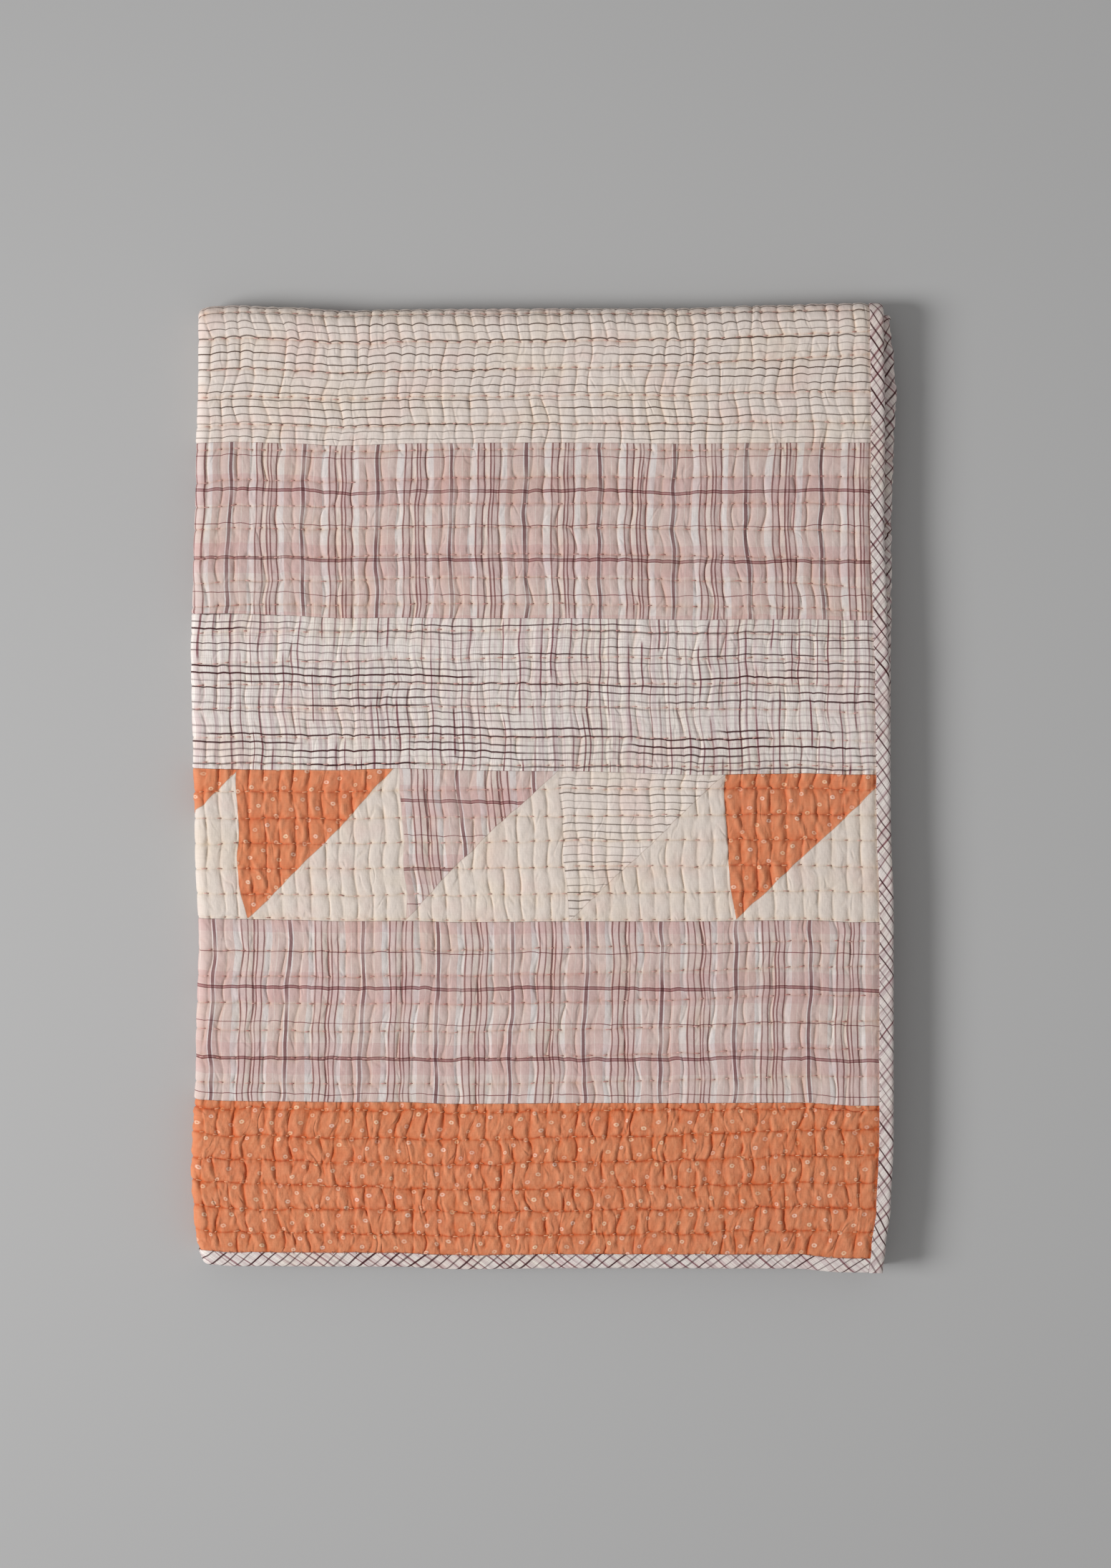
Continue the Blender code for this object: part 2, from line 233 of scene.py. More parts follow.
        turn = np.clip((along - self.run_along) / self.outer_height, 0.0, np.pi)
        upper = np.clip(self.run_along - along, 0.0, None)
        lower = np.clip(along - (self.cloth_length - self.run_along), 0.0, None)
        straight_y = self.fold_centre_y - upper - lower
        under = smooth(turn / np.pi)

        top_edge = shift_at(self.top_edge, straight_y)
        outer_edge = top_edge + under * (shift_at(self.under_edge, straight_y) - top_edge)
        inside = shift_at(self.inside_edge, straight_y)
        bound_edge = outer_edge + (1 - outside) * (inside - outer_edge)
        doubled = shift_at(self.doubled_edge, straight_y) * (1 - self.under_calm * under)
        share_x = np.clip(x / self.width + 0.5, 0.0, 1.0)
        shifted_x = x + doubled + share_x * (bound_edge - doubled)

        share_y = np.clip(straight_y / self.length + 0.5, 0.0, 1.0)
        back = self.inside_back * (1 - outside) + self.under_back * under * outside
        open_end = shift_at(self.open_end, x) + back
        end_shift = open_end + share_y * (shift_at(self.rounded_fold, x) - open_end)

        wave = np.sin(2 * np.pi * x / self.wave_across + self.wave_phase)
        wave = wave * np.sin(2 * np.pi * straight_y / self.wave_along)
        swell = 1 + (1 - under) * (self.wave * wave - self.slump * (1 - share_y) ** 2)
        y = straight_y + end_shift + height * np.sin(turn)
        z = self.half_pile + height * swell * np.cos(turn)
        return np.stack([shifted_x, y, z], axis=-1)

    def edge_loft(self, across: Array, along: Array) -> Array:
        """Half the most that the cloth's thickness may be, near its bound edges.

        Args:
            across, along: places on the cloth.

        Returns:
            The limit at each place.
        """
        free = self.edge_full + self.edge_rise
        stations = (self.edge_in, self.edge_out, self.edge_full, free)
        halves = (self.edge_half, self.edge_half, self.layer / 2, self.layer)
        side = np.interp(np.minimum(across, self.cloth_width - across), stations, halves)
        end = np.interp(np.minimum(along, self.cloth_length - along), stations, halves)
        return np.minimum(side, end)


class Fabric(Enum):
    """The cottons of the quilt."""

    DOTTED = "dotted_orange"
    PLAID = "madras_plaid"
    PIECED = "pieced_triangles"
    CHECK = "dense_check"
    LINED = "lined_cream"
    PLAIN = "plain_backing"


class Seam(NamedTuple):
    """A seam across the patchwork: its place along the cloth, and how it strays from there."""

    along: float
    strays: tuple[Shift, ...] = ()


ORANGE_SEAM = Seam(0.1548)
PLAID_SEAM = Seam(0.3247)
TRIANGLE_SEAM = Seam(
    0.4650, outline((6400, 8), (6920, -4), (8400, 26), (9900, 4), (11460, -36), (13030, -36))
)
CHECK_SEAM = Seam(0.6080, outline((6400, 23), (9500, 6), (13030, -38)))
STRIPE_SEAM = Seam(0.7707, outline((6400, -2), (9800, 20), (13030, -22)))
SEAMS = (ORANGE_SEAM, PLAID_SEAM, TRIANGLE_SEAM, CHECK_SEAM, STRIPE_SEAM)


class Triangle(NamedTuple):
    """A half-square triangle: places across the cloth of its upright edge and its point."""

    head: float  # where the upright edge ends, beside the check
    foot: float  # where it starts, beside the plaid
    point: float
    fabric: Fabric
    bow: float = 0.0  # how far the upright edge strays to the left
    bulge: float = 0.0  # how far the middle of the sloping edge strays to the right


@dataclass(frozen=True)
class TriangleRow:
    """Half-square triangles of three fabrics, pieced side by side on plain cream."""

    pieces: tuple[Triangle, ...] = (
        Triangle(0.5405, 0.5530, 0.6955, Fabric.DOTTED),
        Triangle(0.6915, 0.6965, 0.8380, Fabric.DOTTED, 0.0044, 0.0022),
        Triangle(0.8435, 0.8440, 0.9905, Fabric.PLAID, -0.0032, -0.0030),
        Triangle(0.9920, 0.9980, 1.1456, Fabric.LINED, 0.0, 0.0026),
        Triangle(1.1460, 1.1540, 1.3020, Fabric.DOTTED, 0.0022, 0.0012),
    )
    bend: float = 0.77  # where it strays most, as a share of the way to its foot
    plaid_lean: float = 0.009  # how far the plaid's threads run to the right on that way
    foot: float = PLAID_SEAM.along
    head: float = TRIANGLE_SEAM.along

    def holds(self, across: Array, along: Array, fabric: Fabric) -> Array:
        """Finds the triangles of a fabric.

        Args:
            across, along: places in the near half of the cloth.
            fabric: the fabric.

        Returns:
            Whether each place lies on one of them.
        """
        drop = (self.head - along) / (self.head - self.foot)
        found = np.zeros(np.broadcast(across, along).shape, dtype=bool)
        for piece in self.pieces:
            if piece.fabric is fabric:
                left = piece.head + (piece.foot - piece.head) * drop
                left = left - piece.bow * np.minimum(drop / self.bend, (1 - drop) / (1 - self.bend))
                right = piece.point + (piece.foot - piece.point) * drop
                right = right + piece.bulge * 4 * drop * (1 - drop)
                found |= (across > left) & (across < right)
        return found & (drop > 0) & (drop < 1)


class SewnRow(NamedTuple):
    """A row of running stitch: its place along the cloth, and how it strays from left to right."""

    along: float
    left: float
    middle: float
    right: float


ROWS = tuple(
    SewnRow(*(value * TENTH for value in row))
    for row in (
        (338, -12, -19, 31), (561, -15, -15, 30), (785, -5, -33, 37), (1022, -22, -29, 50),
        (1257, -24, -31, 54), (1489, -10, -23, 33), (1755, -36, -15, 52), (2002, -49, -15, 63),
        (2254, -41, -21, 63), (2507, -41, -13, 55), (2769, -50, -9, 58), (3008, -49, -8, 57),
        (3266, -40, 8, 31), (3507, -21, 0, 22), (3750, -24, 11, 12), (3989, -29, 12, 18),
        (4222, -29, 12, 17), (4471, -24, 17, 7), (4710, -10, 4, 6), (4954, 0, 20, -19),
        (5229, -2, 32, -29), (5455, -8, 26, -17), (5682, -28, 39, -12), (5937, 4, 38, -42),
        (6187, 0, 41, -40), (6418, -4, 50, -46), (6648, -8, 40, -31), (6906, 1, 36, -37),
        (7134, -14, 28, -14), (7378, -25, 24, 0), (7648, -9, 28, -19), (7887, -15, 22, -6),
        (8158, -19, 11, 7), (8435, -43, -12, 55), (8687, -9, -11, 21), (8923, 0, 12, -12),
    )
)


class Surface(NamedTuple):
    """Points of the quilted face: where they lie, where on the fabric, and how deep."""

    across: Array
    along: Array
    lift: Array
    fabric: Array  # place on the fabric across and along, and the share of a hollow, which the finish darkens as painted shade


@dataclass
class Needlework:
    """Where the rows of running stitch run, and how they pucker the quilted cloth.

    A place on the quilted face is (column, station): column counts stitches across the cloth,
    with a valley at each whole number, and station is the distance along it before rows stray.
    """

    pile: Pile
    triangles: TriangleRow
    columns: int = 47  # stitches in a row of the part that shows
    start_inside: float = 0.010  # from the doubled edge to the first column
    end_inside: float = 0.0150  # from the last one to the bound edge
    row_places: tuple[float, float, float] = (0.707, 0.979, 1.242)  # of a row's strays
    row_span: Span = (0.645, 1.30)  # across the cloth, where rows curve
    row_fade: Span = (0.60, 0.65)  # and where they start to stray
    border_fade: Span = (0.010, 0.030)  # the same, from the open end
    calm_rows: Span = (0.318, 0.46)  # along it, where stitches keep in line
    calm: float = 0.45  # how much less they stray there
    border_unrest: float = 0.35  # how much more they stray on the orange border
    border_gains: tuple[tuple[str, float], ...] = (
        ("drift", 0.7), ("crease", 0.35), ("puff", 0.15), ("scallop", 0.7), ("cut", 0.9),
    )
    border_weak: float = 0.3
    rolled: Span = (0.80, 0.87)  # along it, where it rises to the fold
    jitter: float = 1.5 * MM
    row_jitter: float = 2.4 * MM
    drift: float = 0.42 * MM  # how far a stitch lies above or below its row
    drift_drag: float = 0.6  # how far the cloth's threads follow that
    bow: float = 2.1 * MM
    valley_depth: float = 1.15 * MM
    flank: float = 0.44  # a valley's side, as a share of a pillow
    node_reach: float = 0.22  # how near a row it changes, as a share of the channel
    weak_reach: float = 0.2  # how long it fades out for, as a share of the channel
    crease_depth: float = 0.80 * MM
    crease_width: float = 0.85 * MM
    branch_depth: float = 0.5 * MM
    branch_slope: float = 0.42
    branch_width: float = 0.11
    row_depth: float = 1.05 * MM
    row_steepness: float = 0.60  # share of that which is a narrow groove
    row_crease: float = 0.50 * MM  # how far the thread cuts in between two stitches
    row_crease_width: float = 0.80 * MM
    scallop: float = 0.75 * MM  # how far a row sags from stitch to stitch
    crumple: float = 0.95 * MM
    crumple_waves: int = 14
    crumple_lengths: Span = (0.0080, 0.019)
    crumple_width: float = 0.7  # of the small folds, against their waves
    crumple_swell: float = 0.3
    dart_depth: float = 0.95 * MM
    dart_width: float = 1.15 * MM
    dimple_depth: float = 0.6 * MM
    dimple_width: float = 1.1 * MM
    stitch_length: float = 4.9 * MM
    stitch_offset: float = -1.2 * MM
    crown: float = 0.5 * MM  # how far a pillow stands over the even loft
    swell: float = 0.12 * MM  # how far the face rises and falls
    swell_lengths: tuple[float, float, float] = (0.19, 0.13, 0.31)  # across, along and aslant
    pressed: float = 0.5  # how much flatter it lies under the pile
    pressed_over: float = 0.03  # how far from the fold's middle that sets in
    full_hollow: float = 2.4 * MM  # depth from which a hollow counts as full, and takes the full painted shade of its finish
    seam_reach: float = 0.014
    seam_hold: float = 0.004  # how near a seam a row's drift dies out
    fabric_drag: float = 0.45
    arc: float = 1.05 * MM  # how far a thread of the cloth arches over a pillow
    puckers: tuple[float, ...] = (0.95, 0.85, 0.85, 0.75, 0.90, 0.90)  # of each band, border first
    crumples: tuple[float, ...] = (1.0, 0.16, 0.12, 0.18, 0.16, 0.2)
    orange_gains: tuple[float, float] = (1.2, 1.1)  # pucker and crumple of the orange triangles
    seed: int = 29
    draws: dict[str, Array] = field(init=False)
    stations: Array = field(init=False)  # of the rows, with one unsewn before and after
    waves: tuple[Array, ...] = field(init=False)  # of the crumples: across, along, phase

    def __post_init__(self) -> None:
        """Places the rows, and draws what differs from stitch to stitch."""
        near = np.array([row.along for row in ROWS])
        sewn = np.concatenate([near, self.pile.cloth_length - near[::-1]])
        outer = 2 * near[0] - near[1]
        self.stations = np.concatenate([[outer], sewn, [self.pile.cloth_length - outer]])
        draw = np.random.default_rng(self.seed)
        shape = (len(self.stations), self.columns + 1)
        uniform, normal = partial(draw.uniform, size=shape), partial(draw.normal, size=shape)
        number = np.arange(shape[1])
        fade = smooth(np.minimum(number, number[::-1]) / 2.0)
        row_shift = draw.uniform(-1.0, 1.0, (shape[0], 1)) * self.row_jitter
        place = np.clip(normal(0.0, 1.0), -1.8, 1.8) * self.jitter
        first, last = self.calm_rows
        calm = ((self.stations > first) & (self.stations < last))[:, None]
        border = (self.stations < ORANGE_SEAM.along)[:, None]
        rolled = between(self.stations, *self.rolled)[:, None]
        even = 1 - self.calm * calm + self.border_unrest * border
        drift = np.clip(normal(0.0, 1.0), -2.0, 2.0)
        crease = self.crease_depth * np.clip(normal(0.45, 0.5), 0.0, 1.25)
        self.draws = {
            "place": (row_shift + place) * fade * even,
            "drift": drift * self.drift * fade,
            "bow": np.clip(normal(0.0, 0.6), -1.0, 1.0) * self.bow * fade * even,
            "lean": uniform(-0.35, 0.35),
            "valley": self.valley_depth * (0.40 + draw.random(shape)),
            "node": self.valley_depth * (0.75 + 0.45 * draw.random(shape)),
            "crease": crease,
            "branch": self.branch_depth * np.clip(normal(-0.1, 0.7), 0.0, 1.3),
            "branch_way": draw.choice([-1.0, 1.0], shape),
            "puff": uniform(0.75, 1.2),
            "length": self.stitch_length * uniform(0.72, 1.22),
            "offset": self.stitch_offset + uniform(-0.8, 0.8) * MM,
            "arc": self.arc * uniform(0.2, 1.3) * (1 + 0.8 * rolled),
            "scallop": self.scallop * uniform(-0.25, 1.3),
            "cut": self.row_crease * uniform(0.1, 1.2),
            "spot": uniform(0.15, 0.85),
            "weak": normal(0.22, 0.42) + self.border_weak * border,
        }
        self.draws["weak"] = np.clip(self.draws["weak"], 0.0, 0.95)
        for name, more in self.border_gains:
            self.draws[name] = self.draws[name] * (1 + more * border)
        count = self.crumple_waves
        turn = draw.uniform(-0.9, 0.9, count) + np.pi * draw.integers(0, 2, count)
        wave = 2 * np.pi / draw.uniform(*self.crumple_lengths, count)
        phase = draw.uniform(0, 2 * np.pi, count)
        self.waves = (wave * np.cos(turn), wave * np.sin(turn), phase)
        for name in DARTS:
            deep = np.clip(normal(0.25, 0.6), 0.0, 1.2)
            self.draws[name] = self.dart_depth * deep
            self.draws[name + "_way"] = uniform(0.5, 1.9)
            self.draws[name + "_reach"] = uniform(0.18, 0.45)

    @property
    def start(self) -> float:
        """Place across the cloth of the first column."""
        return self.pile.run_across - self.start_inside

    @property
    def stitch_pitch(self) -> float:
        """Distance from stitch to stitch in a row."""
        end = self.pile.cloth_width - self.end_inside
        return (end - self.start) / self.columns

    def seam_stray(self, across: Array, station: Array) -> Array:
        """How far the cloth strays along itself, from seam to seam.

        Args:
            across, station: places on the cloth.

        Returns:
            The distances, towards the fold.
        """
        none = np.zeros_like(across)
        seams = [shift_at(seam.strays, across) if seam.strays else none for seam in SEAMS]
        known = [none, *seams, none]
        places = [0.0, *(seam.along for seam in SEAMS), self.pile.middle_station]
        at = np.clip(np.searchsorted(places, station, side="right") - 1, 0, len(places) - 2)
        total = none
        for number in range(len(places) - 1):
            gap = places[number + 1] - places[number]
            share = np.clip((station - places[number]) / gap, 0.0, 1.0)
            mixed = known[number] * (1 - share) + known[number + 1] * share
            total = np.where(at == number, mixed, total)
        return total

    def row_stray(self, across: Array, station: Array) -> Array:
        """How far the rows of stitches stray along the cloth.

        Args:
            across, station: places on the cloth.

        Returns:
            The distances, on a curve through a row's three strays.
        """
        left, middle, right = self.row_places
        x = np.clip(across, *self.row_span)
        weights = (
            (x - middle) * (x - right) / ((left - middle) * (left - right)),
            (x - left) * (x - right) / ((middle - left) * (middle - right)),
            (x - left) * (x - middle) / ((right - left) * (right - middle)),
        )
        places = [0.0, *(row.along for row in ROWS), self.pile.middle_station]
        total = np.zeros_like(across)
        for number, weight in enumerate(weights):
            strays = [0.0, *(row[1 + number] for row in ROWS), 0.0]
            total = total + weight * np.interp(station, places, strays)
        return total * between(across, *self.row_fade)

    def stray(self, across: Array, station: Array) -> Array:
        """How far the cloth strays along itself: with the rows, and with seams near them.

        Args:
            across, station: places on the cloth.

        Returns:
            The distances.
        """
        cloth = self.seam_stray(across, station)
        total = self.row_stray(across, station) * between(station, *self.border_fade)
        for end in (0.0, *(seam.along for seam in SEAMS)):
            near = smooth(1 - np.abs(station - end) / self.seam_reach)
            total = total * (1 - near) + cloth * near
        return total

    def gain(self, across: Array, along: Array) -> tuple[Array, Array]:
        """How strongly each fabric puckers, and how much it crumples.

        Args:
            across, along: places on the cloth.

        Returns:
            Both gains at each place.
        """
        near = np.where(along < self.pile.middle_station, along, self.pile.cloth_length - along)
        band = np.searchsorted([seam.along for seam in SEAMS], near)
        orange = self.triangles.holds(across, near, Fabric.DOTTED)
        puckers = np.where(orange, self.orange_gains[0], np.array(self.puckers)[band])
        crumples = np.where(orange, self.orange_gains[1], np.array(self.crumples)[band])
        return puckers, crumples

    def row_of(self, station: Array) -> tuple[Array, Array, Array]:
        """Finds the rows that stations lie between.

        Args:
            station: the stations.

        Returns:
            The row before each, the share of the way to the next row, and their distance.
        """
        row = np.clip(np.searchsorted(self.stations, station, side="right") - 1, 0, None)
        row = np.minimum(row, len(self.stations) - 2)
        gap = self.stations[row + 1] - self.stations[row]
        return row, np.clip((station - self.stations[row]) / gap, 0.0, 1.0), gap

    def surface(self, column: Array, station: Array) -> Surface:
        """The quilted face.

        Args:
            column: columns of the places, which need not be whole.
            station: their stations.

        Returns:
            Its points.
        """
        column, station = np.broadcast_arrays(column, station)
        row, step, gap = self.row_of(station)
        left = np.clip(np.floor(column), 0, self.columns - 1).astype(int)
        part = np.clip(column - left, 0.0, 1.0)
        rounded = 4 * part * (1 - part)

        def mixed(name: str, at_row: Array) -> Array:
            """A draw between two columns."""
            table, share = self.draws[name], smooth(part) if name == "drift" else part
            return table[at_row, left] * (1 - share) + table[at_row, left + 1] * share

        def drifted(at_row: Array) -> Array:
            """How far a row's thread lies off it, with its sag between two stitches."""
            return mixed("drift", at_row) - self.draws["scallop"][at_row, left] * rounded

        ease = 0.6 * smooth(step) + 0.4 * step
        moved = mixed("place", row) * (1 - ease) + mixed("place", row + 1) * ease
        moved = moved + mixed("bow", row) * np.sin(np.pi * step)
        across = self.start + self.stitch_pitch * column + moved
        drift = drifted(row) * (1 - step) + drifted(row + 1) * step
        for end in (0.0, *(seam.along for seam in SEAMS)):
            away = np.minimum(np.abs(station - end), np.abs(self.pile.cloth_length - station - end))
            drift = drift * smooth(away / self.seam_hold)
        cloth = self.seam_stray(across, station)
        along = station + self.stray(across, station) + drift

        height = self.relief(row, step, gap, left, part)
        gain, restless = self.gain(across, along)
        height = gain * height - self.crumpled(across, along) * restless
        showing = smooth(column)
        over, up, aslant = (2 * np.pi / length for length in self.swell_lengths)
        swell = np.sin(over * across + 1.0) + np.sin(up * along + 2.0)
        swell = self.swell * (swell + np.sin(aslant * (across + along)))
        full = self.pile.layer / 2 + showing * (gain * self.crown + swell + height)
        turned = smooth((station - self.pile.middle_station) / self.pressed_over)
        full = np.minimum(full, self.pile.layer * (1 - self.pressed * turned))
        lift = np.minimum(full, self.pile.edge_loft(across, along))
        # how deep a point lies in a pucker; the finish darkens it by this as painted shade and dirt
        hollow = np.clip(-showing * height / self.full_hollow, 0.0, 1.0)
        arc = self.draws["arc"][row, left] * (1 - step) + self.draws["arc"][row + 1, left] * step
        laid = along - cloth - drift * self.drift_drag - arc * rounded
        fabric = np.stack([across - self.fabric_drag * moved, laid, hollow], -1)
        return Surface(across, along, lift, fabric)

    def crumpled(self, across: Array, along: Array) -> Array:
        """Depth of the small soft folds that run every way between the stitches.

        Args:
            across, along: places on the cloth.

        Returns:
            The depths.
        """
        total = np.zeros_like(across)
        for over, up, phase in zip(*self.waves):
            total = total + np.sin(over * across + up * along + phase)
        total = total / np.sqrt(self.crumple_waves / 2)
        folds = np.exp(-((total / self.crumple_width) ** 2))
        return self.crumple * (folds + self.crumple_swell * total)

    def relief(self, row: Array, step: Array, gap: Array, left: Array, part: Array) -> Array:
        """Height of the puckers: valleys from stitch to stitch, rows, darts and dimples.

        Args:
            row, step, gap: the row before each place, the share of the way to the next, and
                their distance.
            left, part: the column before it, and the share of the way to the next.

        Returns:
            The heights, mostly below nothing.
        """
        draws = self.draws
        in_channel = smooth(np.minimum(step, 1 - step) / self.node_reach)
        at_row = np.where(step < 0.5, row, row + 1)
        leant = part + draws["lean"][row, left] * in_channel * part * (1 - part)
        height = np.zeros_like(step)
        for line, share in ((left, leant), (left + 1, 1 - leant)):
            depth = draws["node"][at_row, line] * (1 - in_channel)
            depth = depth + draws["valley"][row, line] * in_channel
            flank = np.clip(1 - share / self.flank, 0.0, 1.0) ** 2.0
            away = share * self.stitch_pitch / self.crease_width
            fall = ((step - draws["spot"][row, line]) / self.weak_reach) ** 2
            kept = 1 - draws["weak"][row, line] * np.exp(-fall) * in_channel
            crease = draws["crease"][row, line] * (0.35 + 0.65 * in_channel)
            height = height - kept * (depth * flank + crease * np.exp(-away * away))

        branch_at = 0.5 + draws["branch_way"][row, left] * self.branch_slope * step
        branch = draws["branch"][row, left] * smooth(step / 0.15) * smooth((1 - step) / 0.4)
        height = height - branch * np.exp(-(((part - branch_at) / self.branch_width) ** 2))

        corners = ((part, step), (1 - part, step), (part, 1 - step), (1 - part, 1 - step))
        for name, (share, rise) in zip(DARTS, corners):
            deep = draws[name][row, left] * smooth(1 - rise / draws[name + "_reach"][row, left])
            slope = draws[name + "_way"][row, left]
            away = (share * self.stitch_pitch - slope * rise * gap) / self.dart_width
            height = height - deep * smooth(rise / 0.04) * np.exp(-(away**2) / (1 + slope**2) * 2)

        from_middle = np.abs(2 * step - 1)
        groove = self.row_steepness * from_middle**10 + (1 - self.row_steepness) * from_middle**3
        puff = draws["puff"][row, left] * (1 - part) + draws["puff"][row, left + 1] * part
        height = height - self.row_depth * puff * groove
        near_row = np.minimum(step, 1 - step) * gap
        cut = draws["cut"][at_row, left] * (0.25 + 3 * part * (1 - part))
        height = height - cut * np.exp(-((near_row / self.row_crease_width) ** 2))

        from_row = near_row / self.dimple_width
        for line, share in ((left, part), (left + 1, part - 1)):
            for end in (-0.5, 0.5):
                hole = draws["offset"][at_row, line] + end * draws["length"][at_row, line]
                away = (share * self.stitch_pitch - hole) / self.dimple_width
                height = height - self.dimple_depth * np.exp(-(away**2) - from_row**2)
        return height


class ClothMesh:
    """Points of the cloth and the faces between them, gathered into one object."""

    def __init__(self, pile: Pile) -> None:
        """Starts empty.

        Args:
            pile: how the cloth lies.
        """
        self.pile = pile
        self.count = 0
        self.places: list[Array] = []
        self.fabric: list[Array] = []
        self.corners: list[Array] = []
        self.sizes: list[Array] = []
        self.chart: list[Array] = []
        self.finish: list[Array] = []

    def raw_points(self, places: Array, fabric: Array) -> Array:
        """Adds points where they are, held above the floor.

        Args:
            places: their places.
            fabric: the three numbers that are stored at each.

        Returns:
            The points' numbers, in the same shape.
        """
        shape = places.shape[:-1]
        places[..., 2] = np.maximum(places[..., 2], 0.0)
        self.places.append(places.reshape(-1, 3))
        self.fabric.append(np.broadcast_to(fabric, places.shape).reshape(-1, 3))
        made = self.count + np.arange(int(np.prod(shape))).reshape(shape)
        self.count += made.size
        return made

    def points(self, made: Surface) -> Array:
        """Adds points of the open cloth, folded, and returns their numbers."""
        return self.raw_points(self.pile.folded(made.across, made.along, made.lift), made.fabric)

    def polygons(self, corners: Array, chart: Array, finish: int = 0) -> None:
        """Adds faces of one size.

        Args:
            corners: numbers of the points, a row for each face.
            chart: places of those corners on the flat chart.
            finish: the material's slot.
        """
        self.corners.append(corners.reshape(-1))
        self.chart.append(chart.reshape(-1, 2))
        self.sizes.append(np.full(len(corners), corners.shape[1]))
        self.finish.append(np.full(len(corners), finish))

    def grid(self, index: Array, chart: Array, finish: int = 0, turned: bool = False) -> None:
        """Adds the faces of a grid of points, which face up where its rows run to +X.

        Args:
            index: numbers of the points, in rows and columns.
            chart: their places on the flat chart.
            finish: the material's slot.
            turned: whether the faces look the other way.
        """
        order = ((0, 0), (1, 0), (1, 1), (0, 1))
        order = order[::-1] if turned else order
        rows, columns = index.shape[0] - 1, index.shape[1] - 1
        corners = [index[i : i + rows, j : j + columns] for i, j in order]
        charted = [chart[i : i + rows, j : j + columns] for i, j in order]
        chart = np.stack(charted, -2).reshape(-1, 4, 2)
        self.polygons(np.stack(corners, -1).reshape(-1, 4), chart, finish)

    def zipped(
        self,
        first: tuple[Array, Array],
        second: tuple[Array, Array],
        strip: Span,
        finish: int = 0,
        turned: bool = False,
    ) -> None:
        """Joins two lines of points with triangles.

        Args:
            first, second: for each line the numbers of its points and their places along it.
            strip: where the triangles lie on the flat chart.
            finish: the material's slot.
            turned: whether the faces look the other way.
        """
        (a, a_at), (b, b_at) = first, second
        ends = min(a_at[0], b_at[0]), max(a_at[-1], b_at[-1])
        a_chart, b_chart = (
            np.stack([np.interp(at, ends, (0.02, 0.98)), np.full(len(at), side)], -1)
            for at, side in ((a_at, strip[0]), (b_at, strip[1]))
        )
        corners, charted = [], []
        i = j = 0
        while i < len(a) - 1 or j < len(b) - 1:
            if i < len(a) - 1 and (j == len(b) - 1 or a_at[i + 1] <= b_at[j + 1]):
                corners.append((a[i], a[i + 1], b[j]))
                charted.append((a_chart[i], a_chart[i + 1], b_chart[j]))
                i += 1
            else:
                corners.append((a[i], b[j + 1], b[j]))
                charted.append((a_chart[i], b_chart[j + 1], b_chart[j]))
                j += 1
        way = slice(None, None, -1) if turned else slice(None)
        self.polygons(np.array(corners)[:, way], np.array(charted)[:, way], finish)

    def build(self, name: str, materials: list[Material]) -> Object:
        """Makes the object and links it to the scene.

        Args:
            name: its name.
            materials: its finishes, in the order of their slots.

        Returns:
            The object.
        """
        sizes = np.concatenate(self.sizes)
        mesh = bpy.data.meshes.new(name)
        mesh.vertices.add(self.count)
        self.fill(mesh.vertices, "co", self.places)
        mesh.loops.add(int(sizes.sum()))
        self.fill(mesh.loops, "vertex_index", self.corners)
        mesh.polygons.add(len(sizes))
        self.fill(mesh.polygons, "loop_start", [np.cumsum(sizes) - sizes])
        self.fill(mesh.polygons, "material_index", self.finish)
        chart = mesh.uv_layers.new(name="OFBake")
        self.fill(chart.uv, "vector", self.chart)
        stored = mesh.attributes.new(STORED, "FLOAT_VECTOR", "POINT")
        self.fill(stored.data, "vector", self.fabric)
        for material in materials:
            mesh.materials.append(material)
        mesh.update(calc_edges=True)
        mesh.shade_smooth()
        mesh.set_sharp_from_angle(angle=math.radians(60))
        made = bpy.data.objects.new(name, mesh)
        bpy.context.scene.collection.objects.link(made)
        return made

    @staticmethod
    def fill(items: bpy_prop_collection, what: str, parts: list[Array]) -> None:
        """Writes one property of a mesh's items.

        Args:
            items: the items.
            what: the property.
            parts: its numbers, in order.
        """
        values = np.concatenate(parts)
        kind = np.int32 if values.dtype.kind == "i" else np.float32
        items.foreach_set(what, values.astype(kind).ravel())


